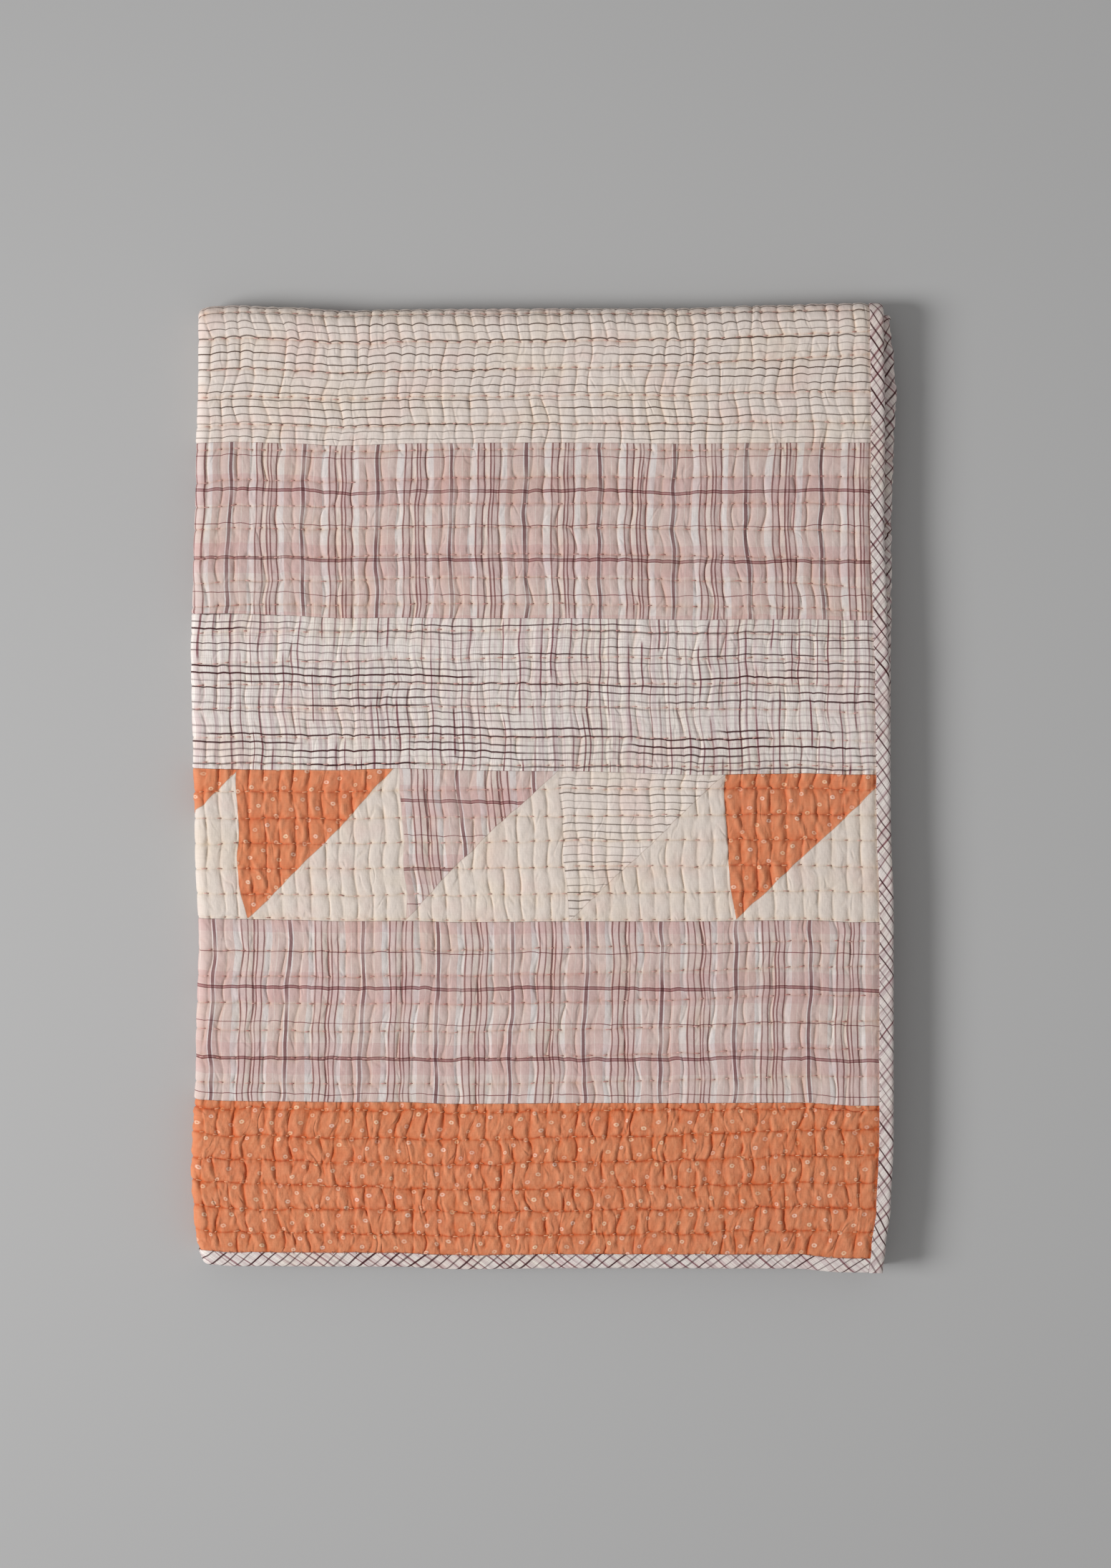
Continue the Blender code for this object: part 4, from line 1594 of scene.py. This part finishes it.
@dataclass(frozen=True)
class Yarns:
    """The colours of the cottons, as linear light; a tint multiplies the white it lies on."""

    white: Colour = (0.705, 0.635, 0.61)
    check_white: Colour = (0.81, 0.75, 0.708)
    cream: Colour = (0.74, 0.652, 0.588)
    cream_streak: Colour = (0.66, 0.52, 0.46)
    backing_streak: Colour = (0.74, 0.67, 0.60)
    lined_cream: Colour = (0.78, 0.692, 0.636)
    lined_hair: Colour = (0.60, 0.44, 0.42)
    pink_tint: Colour = (0.91, 0.79, 0.77)
    pale_tint: Colour = (1.0, 0.95, 0.92)
    bright_tint: Colour = (1.03, 1.062, 1.09)
    mauve_tint: Colour = (0.95, 0.85, 0.85)
    plum_tint: Colour = (0.40, 0.238, 0.238)
    grey_plum_tint: Colour = (0.360, 0.230, 0.242)
    weft_pink: Colour = (0.95, 0.860, 0.868)
    weft_pale: Colour = (1.0, 0.985, 0.975)
    weft_plum: Colour = (0.375, 0.195, 0.21)
    weft_mauve: Colour = (0.60, 0.41, 0.43)
    check_plum: Colour = (0.052, 0.008, 0.010)
    check_wine: Colour = (0.19, 0.045, 0.062)
    check_mauve: Colour = (0.47, 0.325, 0.35)
    umber: Colour = (0.090, 0.050, 0.034)
    orange: Colour = (0.705, 0.268, 0.135)
    rust: Colour = (0.50, 0.14, 0.065)
    dot: Colour = (0.90, 0.66, 0.44)
    pink_dot: Colour = (0.93, 0.66, 0.56)
    blush_stain: Colour = (1.0, 0.945, 0.945)
    ecru_stain: Colour = (1.0, 0.99, 0.955)
    # painted shade along the seams of the pieced triangles
    painted_seam_shade: Colour = (0.34, 0.25, 0.20)


@dataclass
class Loom:
    """The effects that the cottons share, each built when it is first asked for.

    Noise takes how many lumps it has in a metre across and along the cloth, and a number of its
    own that keeps it apart from the rest.
    """

    yarns: Yarns
    triangles: TriangleRow  # that the pieced cotton shows

    @cached_property
    def cloths(self) -> dict[Fabric, NodeTree]:
        """The colours of the patterned fabrics."""
        return {
            Fabric.PLAID: self.madras,
            Fabric.LINED: self.lined,
            Fabric.CHECK: self.checked,
            Fabric.DOTTED: self.dotted,
        }

    @cached_property
    def picks(self) -> NodeTree:
        """A place shifted as hand-thrown threads lie: each a little off, and all swaying."""
        inputs = PLACE | {"Fray": 0.22 * MM, "Sway": 3.3 * MM}
        board = Effect("hand_woven_threads", inputs, ("Across", "Along"))
        x, y, fray, sway = board.given
        moved = []
        for number, (place, other) in enumerate(((x, y), (y, x))):
            off = board.noise(other * 2400.0, place * 90.0, float(number), detail=1.0) * 2.0 - 1.0
            far = board.noise(x * 14.0, y * 14.0, 1.0 + 5.0 * number) * 2.0 - 1.0
            moved.append(place + off * fray + far * sway)
        return board.gives(*moved)

    @cached_property
    def grain(self) -> NodeTree:
        """Uneven hand-spun threads of the weave, and the soft gathers between stitches."""
        inputs = PLACE | {"Slub": 0.1, "Gather": 0.7}
        board = Effect("woven_grain", inputs, ("Tone", "Height", "Crease"))
        x, y, slub, gather = board.given
        warp = board.noise(x * 1500.0, y * 60.0, 3.0, detail=3.0, rough=0.6)
        weft = board.noise(x * 60.0, y * 1500.0, 7.0, detail=3.0, rough=0.6)
        long = board.noise(x * 250.0, y * 100.0, 11.0, detail=3.0, rough=0.55)
        short = board.noise(x * 135.0, y * 110.0, 17.0)
        wander = board.noise(x * 70.0, y * 34.0, 23.0, detail=0.6, rough=0.4)
        broken = board.noise(x * 75.0, y * 60.0, 29.0, detail=1.0)
        threads = warp + weft
        tone = (threads - 1.0) * slub + 1.0
        crease = abs(wander - 0.5).eased(0.075, 0.0) * broken.eased(0.42, 0.68)
        folds = short * 1.8 + long * 0.7 - crease * 0.95
        return board.gives(tone, threads * 0.22 + folds * gather, crease)

    @cached_property
    def lines(self) -> NodeTree:
        """Single coloured threads at an uneven pitch, which fade here and there."""
        inputs = {"Place": 0.0, "Run": 0.0, "Pitch": 0.007, "Width": 0.0008, "Uneven": 0.2}
        inputs |= {"Fade": 0.5, "Length": 0.1, "Seed": 0.0}
        board = Effect("coloured_threads", inputs, ("Line",))
        place, run, pitch, width, uneven, fade, length, seed = board.given
        steps = place / pitch
        number = board.math("ROUND", steps)
        own = board.chance(number, seed, 1.0)
        away = abs(steps - number - (own - 0.5) * uneven) * pitch
        half = width * (board.chance(number, seed, 2.0) * 0.7 + 0.65) * 0.5
        soft = width * 0.26
        line = away.eased(half + soft, half - soft)
        at = own * 7.0 + run / length
        piece = board.math("FLOOR", at)
        after = board.math("FRACT", at).eased(0.80, 1.0)
        here, there = (board.chance(number, piece + extra, seed) for extra in (0.0, 1.0))
        luck = (here * (1.0 - after) + there * after) ** 1.6
        strength = board.math("MAXIMUM", 1.0 - luck * fade, 0.0)
        return board.gives(line * strength)

    @cached_property
    def wear_and_shade(self) -> NodeTree:
        """Washing and use: mottled fading and stains; and dirt with painted shade darkening the
        hollows.
        """
        inputs = {"Colour": (0.8, 0.8, 0.8), "Hollow Tint": (0.5, 0.4, 0.3), "Across": 0.0}
        inputs |= {"Along": 0.0, "Hollow": 0.0, "Tone": 1.0, "Dust And Shade": 0.3, "Fading": 0.06}
        board = Effect("washed_and_shaded_cotton", inputs, ("Worn And Shaded Colour",))
        colour, dust_and_shade_tint, x, y, hollow, tone, dust_and_shade, fading = board.given
        cloud = board.noise(x * 9.0, y * 9.0, detail=3.0, rough=0.55)
        fine = board.noise(x * 130.0, y * 90.0, 5.0)
        mottle = cloud * 2.0 - 1.0 + fine * 0.8 - 0.4
        level = (mottle * fading + 1.0) * tone
        grey = board.result("ShaderNodeCombineColor", {0: level, 1: level, 2: level})
        worn = board.mix(1.0, colour, grey, "MULTIPLY")
        blush = board.noise(x * 22.0, y * 26.0, 9.0)
        ecru = board.noise(x * 17.0, y * 24.0, 13.0)
        for stain, tint in ((blush, self.yarns.blush_stain), (ecru, self.yarns.ecru_stain)):
            worn = board.mix(stain.eased(0.47, 0.68), worn, tint, "MULTIPLY")
        # painted shade and dirt in the hollows: the colour is darkened and tinted by how deep the
        # cloth sinks
        shade = board.math("MULTIPLY", hollow**1.4, dust_and_shade, clamp=True)
        return board.gives(board.mix(shade, worn, dust_and_shade_tint, "MULTIPLY"))

    @cached_property
    def madras(self) -> NodeTree:
        """A washed-out plaid: groups of plum threads over pink and white stripes."""
        yarns = self.yarns
        warp_repeat, weft_repeat = 69.8, 64.5  # millimetres of the tables below
        pink, bright, pale = yarns.pink_tint, yarns.bright_tint, yarns.pale_tint
        mauve, plum, grey = yarns.mauve_tint, yarns.plum_tint, yarns.grey_plum_tint
        warp = (
            (0.0, pink), (0.4, bright), (1.4, grey), (4.5, bright), (5.5, pink), (13.2, pale),
            (14.0, pink), (20.8, bright), (27.2, pink), (27.8, plum), (29.0, mauve), (33.4, plum),
            (34.9, pale), (39.1, plum), (40.7, mauve), (42.3, plum), (43.7, mauve), (47.9, plum),
            (49.1, pale), (50.2, bright), (55.6, pink), (61.0, pale), (61.8, pink),
        )
        pink, pale = yarns.weft_pink, yarns.weft_pale
        mauve, plum = yarns.weft_mauve, yarns.weft_plum
        weft = (
            (0.0, pink), (0.7, pale), (1.4, plum), (2.4, mauve), (3.7, plum), (4.7, pale),
            (5.3, pink), (17.0, pale), (34.8, plum), (35.7, pale), (53.0, pink),
        )
        inputs = PLACE | {"Warp Start": 0.0, "Weft Start": 0.0, "Weft Repeat": 0.0645}
        board = Effect("madras_plaid_cloth", inputs, ("Colour",))
        x, y, warp_start, weft_start, laid_repeat = board.given
        share = board.math("FRACT", (x - warp_start) * (1000.0 / warp_repeat))
        faded = board.noise(x * 60.0, y * 26.0, 4.0).eased(0.42, 0.72, 0.0, 0.44)
        warp_colour = board.mix(faded, board.banded(share, warp, warp_repeat), yarns.pale_tint)
        share = board.math("FRACT", (y - weft_start) / laid_repeat)
        worn = board.noise(x * 20.0, y * 60.0, 6.0).eased(0.42, 0.72, 0.0, 0.34)
        weft_colour = board.mix(worn, board.banded(share, weft, weft_repeat), yarns.weft_pale)
        both = board.mix(1.0, warp_colour, weft_colour, "MULTIPLY")
        return board.gives(board.mix(1.0, both, yarns.white, "MULTIPLY"))

    def woven(self, board: Board, colour: Given, layers: tuple[tuple[Given, ...], ...]) -> Value:
        """Lays sets of coloured threads over a cloth.

        Args:
            board: the tree to wire.
            colour: the cloth's colour.
            layers: what each set of threads takes, and its strength and colour.

        Returns:
            The colour of both.
        """
        names = ("Place", "Run", "Pitch", "Width", "Uneven", "Fade", "Length", "Seed")
        for *given, strength, dyed in layers:
            line = board.call(self.lines, dict(zip(names, given)))[0]
            colour = board.mix(line * strength, colour, dyed)
        return colour

    @cached_property
    def lined(self) -> NodeTree:
        """Cream cotton with single dark threads, some of them paler than the rest."""
        yarns = self.yarns
        board = Effect("lined_cream_cloth", PLACE, ("Colour",))
        run, place = board.given
        dark = place - 0.00645
        layers = (
            (place, run, 0.0024, 0.0005, 0.50, 1.00, 0.030, 12.0, 0.18, yarns.lined_hair),
            (dark, run, 0.00718, 0.0010, 0.12, 0.55, 0.110, 3.0, 1.00, yarns.umber),
        )
        return board.gives(self.woven(board, yarns.lined_cream, layers))

    @cached_property
    def checked(self) -> NodeTree:
        """Off-white cotton under a dense, uneven check of plum and mauve threads."""
        yarns = self.yarns
        board = Effect("dense_check_cloth", PLACE | {"Fade": 1.0}, ("Colour",))
        x, y, fade = board.given
        layers = (
            (x, y, 0.0079, 0.0028, 0.70, fade, 0.120, 19.0, 0.48, yarns.check_mauve),
            (x, y, 0.0021, 0.0005, 0.60, fade, 0.090, 21.0, 0.42, yarns.check_mauve),
            (x, y, 0.0093, 0.0014, 0.75, fade * 1.25, 0.045, 31.0, 0.90, yarns.check_wine),
            (y, x, 0.0027, 0.0004, 0.60, fade, 0.050, 41.0, 0.30, yarns.check_mauve),
            (y, x, 0.0070, 0.0012, 0.16, fade * 0.95, 0.105, 43.0, 1.00, yarns.check_plum),
        )
        return board.gives(self.woven(board, yarns.check_white, layers))

    @cached_property
    def dotted(self) -> NodeTree:
        """Orange cotton with scattered tie-dyed rings, each with an orange heart."""
        yarns = self.yarns
        board = Effect("dotted_orange_cloth", PLACE, ("Colour",))
        across, along = (place * 1000.0 for place in board.given)  # in millimetres, as all below
        first, second = (-11.1, -7.4), (17.5, -10.0)  # steps of the lattice of the dots
        area = first[0] * second[1] - first[1] * second[0]
        m = board.math("ROUND", across * (second[1] / area) - along * (second[0] / area))
        n = board.math("ROUND", along * (first[0] / area) - across * (first[1] / area))
        luck = [board.chance(m, n, seed) for seed in (1.0, 2.0, 3.0, 4.0, 5.0)]
        x = across - (m * first[0] + n * second[0] + luck[0] * 4.4 - 2.2)
        y = along - (m * first[1] + n * second[1] + luck[1] * 4.4 - 2.2)
        x, y = x * (luck[2] * 0.16 + 0.86), y * 1.12
        rough = board.noise(across * 0.7, along * 0.7)
        far = board.math("SQRT", x * x + y * y) + rough * 1.2 - 0.6
        heart = far.eased(0.35, 1.25, 0.10, 1.0)
        ring = far.eased(2.55, 1.45) * heart * (luck[3] * 0.45 + 0.50)
        ground = board.mix(far.eased(4.2, 2.2, 0.0, 0.30), yarns.orange, yarns.rust)
        streak = board.noise(across * 0.05, along * 0.9)
        ground = board.mix(streak.eased(0.55, 0.8, 0.0, 0.25), ground, yarns.rust)
        dot = board.mix(luck[4], yarns.dot, yarns.pink_dot)
        return board.gives(board.mix(ring, ground, dot))


class Spot(NamedTuple):
    """A place on a fabric, and how deep it lies in a hollow, as values of a material."""

    across: Value
    along: Value
    hollow: Value

    def place(self) -> dict[str, Value]:
        """The place, as the effects take it."""
        return {"Across": self.across, "Along": self.along}


class Finish(Board):
    """A material while it is wired."""

    def __init__(self, name: str) -> None:
        """Makes the material.

        Args:
            name: its name.
        """
        self.made = bpy.data.materials.new(name)
        self.made.use_nodes = True
        super().__init__(self.made.node_tree)
        self.shader = self.tree.nodes["Principled BSDF"].inputs

    def shade(self, inputs: dict[str, Given]) -> Material:
        """Feeds the shader.

        Args:
            inputs: what feeds its inputs, by their names.

        Returns:
            The material.
        """
        for key, given in inputs.items():
            self.feed(self.shader[key], given)
        return self.made


@dataclass(frozen=True)
class Cotton:
    """The finish of one cotton, washed and quilted."""

    name: str
    fabric: Fabric
    warp_start: float = 0.0
    weft_start: float = 0.0
    weft_repeat: float = 0.0645
    slub: float = 0.20
    gather: float = 0.9
    fading: float = 0.05
    # how strongly the hollows darken, as dirt and painted shade
    dust_and_shade: float = 0.56
    dust_and_shade_tint: Colour = (0.80, 0.60, 0.41)  # what dirt and painted shade in the hollows leave of the cotton's colour
    fade: float = 1.0  # how far the check's threads have faded
    relief: float = 0.42 * MM
    sheen: float = 0.10
    crease_hollow: float = 0.32  # how deep a fine crease counts as a hollow, which darkens as painted shade
    patch_dust_and_shade: float = 0.36  # how much more the pieced orange darkens in hollows, as dirt and painted shade
    patch_dust_and_shade_tint: Colour = (0.97, 0.45, 0.30)
    patch_pale: float = 0.16  # how far the pieced lined cotton has washed out
    upright_seam: tuple[float, float, float] = (0.0006, 0.0001, 0.22)  # reach, core, and strength of the painted shade along the seam
    sloping_seam: tuple[float, float, float] = (0.0009, 0.0002, 0.40)

    def material(self, loom: Loom) -> Material:
        """Builds the material.

        Args:
            loom: the shared effects.

        Returns:
            The material.
        """
        board = Finish(self.name)
        across, along, hollow = board.stored()
        place = {"Across": across, "Along": along}
        weave = place | {"Slub": self.slub, "Gather": self.gather}
        tone, height, crease = board.call(loom.grain, weave)
        # fine creases count as hollows, so they are darkened as painted shade too
        hollow = board.math("MAXIMUM", hollow, crease * self.crease_hollow)
        colour = self.cloth(board, loom, Spot(*board.call(loom.picks, place), hollow))
        use = place | {"Colour": colour, "Hollow": hollow, "Tone": tone, "Fading": self.fading}
        use |= {"Dust And Shade": self.dust_and_shade, "Hollow Tint": self.dust_and_shade_tint}
        bump = board.result("ShaderNodeBump", {"Height": height, "Distance": self.relief})
        surface = {"Base Color": board.call(loom.wear_and_shade, use)[0], "Normal": bump}
        surface |= {"Roughness": tone.eased(0.9, 1.1, 0.97, 0.84), "Specular IOR Level": 0.25}
        return board.shade(surface | {"Sheen Weight": self.sheen, "Sheen Roughness": 0.5})

    def dyed(self, board: Board, loom: Loom, fabric: Fabric, place: dict[str, Value]) -> Value:
        """The colour of a patterned fabric.

        Args:
            board: the material's tree.
            loom: the shared effects.
            fabric: the fabric.
            place: where its threads lie.

        Returns:
            The colour, before wear.
        """
        starts = {"Warp Start": self.warp_start, "Weft Start": self.weft_start}
        own = {
            Fabric.PLAID: starts | {"Weft Repeat": self.weft_repeat},
            Fabric.CHECK: {"Fade": self.fade},
        }
        return board.call(loom.cloths[fabric], place | own.get(fabric, {}))[0]

    def cloth(self, board: Board, loom: Loom, spot: Spot) -> Value:
        """The colour of the whole cotton.

        Args:
            board: the material's tree.
            loom: the shared effects.
            spot: where the threads lie.

        Returns:
            The colour, before wear.
        """
        if self.fabric is Fabric.PIECED:
            return self.pieced(board, loom, spot)
        if self.fabric is Fabric.PLAIN:
            haze = board.noise(spot.across * 30.0, spot.along * 30.0, detail=3.0)
            return board.mix(haze, loom.yarns.cream, loom.yarns.backing_streak)
        return self.dyed(board, loom, self.fabric, spot.place())

    def pieced(self, board: Board, loom: Loom, spot: Spot) -> Value:
        """Triangles of three cottons on plain cream, with painted shade along their seams.

        Args:
            board: the material's tree.
            loom: the shared effects.
            spot: where the threads lie.

        Returns:
            The colour, before wear.
        """
        yarns, triangles, place = loom.yarns, loom.triangles, spot.place()
        bend = triangles.bend
        drop = (triangles.head - spot.along) * (1.0 / (triangles.head - triangles.foot))
        leant = spot.across - drop * triangles.plaid_lean
        orange = self.dyed(board, loom, Fabric.DOTTED, place)
        lined = self.dyed(board, loom, Fabric.LINED, place)
        # the pieced orange takes more painted shade and dirt in its hollows
        hollow_shade_share = spot.hollow * self.patch_dust_and_shade
        patches = {
            Fabric.DOTTED: board.mix(hollow_shade_share, orange, self.patch_dust_and_shade_tint, "MULTIPLY"),
            Fabric.PLAID: self.dyed(board, loom, Fabric.PLAID, place | {"Across": leant}),
            Fabric.LINED: board.mix(self.patch_pale, lined, yarns.lined_cream),
        }
        streak = board.noise(spot.across * 220.0, spot.along * 12.0, 2.0, detail=3.0)
        colour = board.mix(streak.eased(0.45, 0.8, 0.0, 0.25), yarns.cream, yarns.cream_streak)
        bent = board.math("MINIMUM", drop * (1.0 / bend), (1.0 - drop) * (1.0 / (1.0 - bend)))
        rounded = drop * (1.0 - drop) * 4.0
        # painted shade along the upright and sloping seams of each triangle
        seam = 0.0
        for piece in triangles.pieces:
            upright = drop * (piece.foot - piece.head) + piece.head - bent * piece.bow
            slope = drop * (piece.foot - piece.point) + piece.point + rounded * piece.bulge
            left, right = spot.across - upright, slope - spot.across
            inside = board.math("GREATER_THAN", board.math("MINIMUM", left, right), 0.0)
            colour = board.mix(inside, colour, patches[piece.fabric])
            for away, (reach, core, shade) in ((left, self.upright_seam), (right, self.sloping_seam)):
                seam = board.math("MAXIMUM", seam, abs(away).eased(reach, core) * shade)
        return board.mix(seam, colour, yarns.painted_seam_shade)


@dataclass(frozen=True)
class Thread:
    """The finish of the sewing thread, whose colour differs with what it was sewn on."""

    name: str
    on_binding: tuple[Colour, Colour] = ((0.16, 0.08, 0.07), (0.36, 0.20, 0.17))
    on_cream: tuple[Colour, Colour] = ((0.40, 0.19, 0.155), (0.66, 0.41, 0.36))
    on_check: tuple[Colour, Colour] = ((0.47, 0.20, 0.18), (0.69, 0.42, 0.39))
    on_orange: tuple[Colour, Colour] = ((0.66, 0.27, 0.13), (0.80, 0.44, 0.26))
    sunk_end_shade: Colour = (0.30, 0.26, 0.24)  # painted shade: what is left of its colour at its end, where it goes down into the cloth
    plies: float = 2200.0
    relief: float = 0.12 * MM
    sheen: float = 0.04

    def material(self) -> Material:
        """Builds the material.

        Returns:
            The material.
        """
        board = Finish(self.name)
        luck, ground, share = board.stored()
        colour = board.mix(luck, *self.on_binding)
        for tones, start, end in (
            (self.on_cream, -0.8, -0.2), (self.on_check, 0.2, 0.45), (self.on_orange, 0.6, 0.9)
        ):
            colour = board.mix(ground.eased(start, end), colour, board.mix(luck, *tones))
        # the end of each stitch is darkened as painted shade
        colour = board.mix(share.eased(0.55, 1.0, 0.0, 0.8), colour, self.sunk_end_shade, "MULTIPLY")
        place = board.result("ShaderNodeNewGeometry", {})
        ply = board.result("ShaderNodeTexNoise", {"Vector": place, "Scale": self.plies, "Detail": 1.0})
        bump = board.result("ShaderNodeBump", {"Height": ply, "Distance": self.relief})
        surface = {"Base Color": colour, "Normal": bump, "Sheen Weight": self.sheen}
        return board.shade(surface | {"Roughness": ply.eased(0.3, 0.7, 0.7, 0.9)})


@dataclass(frozen=True)
class Studio:
    """The plain pale floor, the soft light and the camera over the quilt."""

    lens: float = 85.0
    camera_at: tuple[float, float, float] = (0.0113, 0.0030, 3.495)
    light_distance: float = 5.0
    light_height: float = 35.3  # degrees over the floor
    light_turn: float = 189.0  # degrees round from +X: it is at the left
    light_size: float = 2.15
    light_spread: float = 60.0  # degrees
    light_power: float = 26.9
    sky: float = 0.385
    sky_tint: Colour = (1.0, 0.99, 0.98)
    floor_size: float = 14.0
    floor_tone: Colour = (0.474, 0.474, 0.475)
    floor_roughness: float = 0.9
    floor_specular: float = 0.1

    def build(self) -> None:
        """Makes the floor, the lights and the camera."""
        self.build_floor()
        self.build_lights()
        self.build_camera()

    def build_floor(self) -> None:
        """Makes the floor."""
        bpy.ops.mesh.primitive_plane_add(size=self.floor_size)
        floor = bpy.context.active_object
        floor.name = "floor"
        surface = {"Base Color": self.floor_tone, "Roughness": self.floor_roughness}
        surface |= {"Specular IOR Level": self.floor_specular}
        floor.data.materials.append(Finish("floor_finish").shade(surface))

    def build_lights(self) -> None:
        """Makes the large lamp, and the even light of the sky."""
        key = bpy.data.lights.new("key_light", "AREA")
        key.shape = "DISK"
        key.size = self.light_size
        key.energy = self.light_power
        key.spread = math.radians(self.light_spread)
        lamp = bpy.data.objects.new("key_light", key)
        turn, rise = math.radians(self.light_turn), math.radians(self.light_height)
        flat = math.cos(rise)
        away = Vector((math.cos(turn) * flat, math.sin(turn) * flat, math.sin(rise)))
        lamp.location = away * self.light_distance
        lamp.rotation_euler = away.to_track_quat("Z", "Y").to_euler()
        bpy.context.scene.collection.objects.link(lamp)

        world = bpy.data.worlds.new("studio")
        world.use_nodes = True
        sky = world.node_tree.nodes["Background"].inputs
        sky["Color"].default_value = (*self.sky_tint, 1.0)
        sky["Strength"].default_value = self.sky
        bpy.context.scene.world = world

    def build_camera(self) -> None:
        """Makes the camera, which looks straight down, and the plain view of its colours."""
        lens = bpy.data.cameras.new("camera")
        lens.lens = self.lens
        camera = bpy.data.objects.new("camera", lens)
        camera.location = self.camera_at
        bpy.context.scene.collection.objects.link(camera)
        bpy.context.scene.camera = camera
        bpy.context.scene.view_settings.view_transform = "Standard"


def dress(piece: Object, stands_for: tuple[str, ...] = ()) -> Object:
    """Ties a piece to the quilt's body.

    Args:
        piece: the piece.
        stands_for: the solids that it stands for.

    Returns:
        The piece.
    """
    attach(piece, BODY)
    if stands_for:
        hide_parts(*stands_for)
    LOG.info("%s: %d faces", piece.name, len(piece.data.polygons))
    return piece


def finishes(loom: Loom) -> dict[str, Material]:
    """Makes the cottons.

    Args:
        loom: the effects that they share.

    Returns:
        Those of the bands, by the names of the bands, and those of the backing and binding.
    """
    cottons = {
        "orange_border": Cotton(
            "orange_cotton", Fabric.DOTTED, gather=1.7, dust_and_shade=0.85,
            dust_and_shade_tint=(0.80, 0.40, 0.17), sheen=0.05,
        ),
        "lower_plaid": Cotton("lower_plaid_cotton", Fabric.PLAID, 0.6624, 0.2584, 0.0661),
        "triangle_row": Cotton(
            "pieced_cotton", Fabric.PIECED, 0.8952, 0.4324, 0.0635, dust_and_shade=0.50,
            dust_and_shade_tint=(0.84, 0.67, 0.43),
        ),
        "check_panel": Cotton("check_cotton", Fabric.CHECK),
        "upper_plaid": Cotton("upper_plaid_cotton", Fabric.PLAID, 0.6804, 0.7227, 0.0644),
        "striped_centre": Cotton("lined_cotton", Fabric.LINED),
        "backing": Cotton("backing_cotton", Fabric.PLAIN),
        "binding": Cotton("binding_cotton", Fabric.CHECK, gather=0.5, relief=0.3 * MM, fade=0.45),
    }
    return {name: cotton.material(loom) for name, cotton in cottons.items()}


def bands(pile: Pile, work: Needlework) -> list[Patchwork]:
    """Plans every band of the quilt.

    Args:
        pile: how it lies.
        work: its stitches.

    Returns:
        The bands, in order along the cloth.
    """
    length = pile.cloth_length
    seams = [0.0, *(seam.along for seam in SEAMS)]
    names = ("orange_border", "lower_plaid", "triangle_row", "check_panel", "upper_plaid")
    near = [Patchwork(pile, work, *band) for band in zip(names, seams, seams[1:])]
    centre = Patchwork(pile, work, "striped_centre", seams[-1], length - seams[-1])
    far = [
        Patchwork(pile, work, "under_" + band.name, length - band.end, length - band.start, True)
        for band in reversed(near)
    ]
    return [*near, centre, *far]


def main() -> None:
    """Builds the quilt's pieces in order."""
    logging.basicConfig(level=logging.INFO, format="%(name)s: %(message)s")
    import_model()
    pile, triangles = Pile(), TriangleRow()
    work = Needlework(pile, triangles)
    materials = finishes(Loom(Yarns(), triangles))
    Studio().build()

    for band in bands(pile, work):
        pair = [materials[band.name.removeprefix("under_")], materials["backing"]]
        piece = dress(band.build(pair), ("quilt_body",))

    stitching = Stitching(pile, work)
    thread = Thread("sewing_thread").material()
    half = len(ROWS) + 1
    parts = {"running_stitch": range(1, half + 1), "under_stitch": range(half + 1, 2 * half - 1)}
    for name, part in parts.items():
        dress(stitching.running(part).build(name, [thread]))
    dress(stitching.slipped().build("slip_stitch", [thread]))

    for edge in Edge:
        binding = Binding(pile, edge)
        strip = dress(binding.build([materials["binding"]]), (edge.value,))


if __name__ == "__main__":
    main()
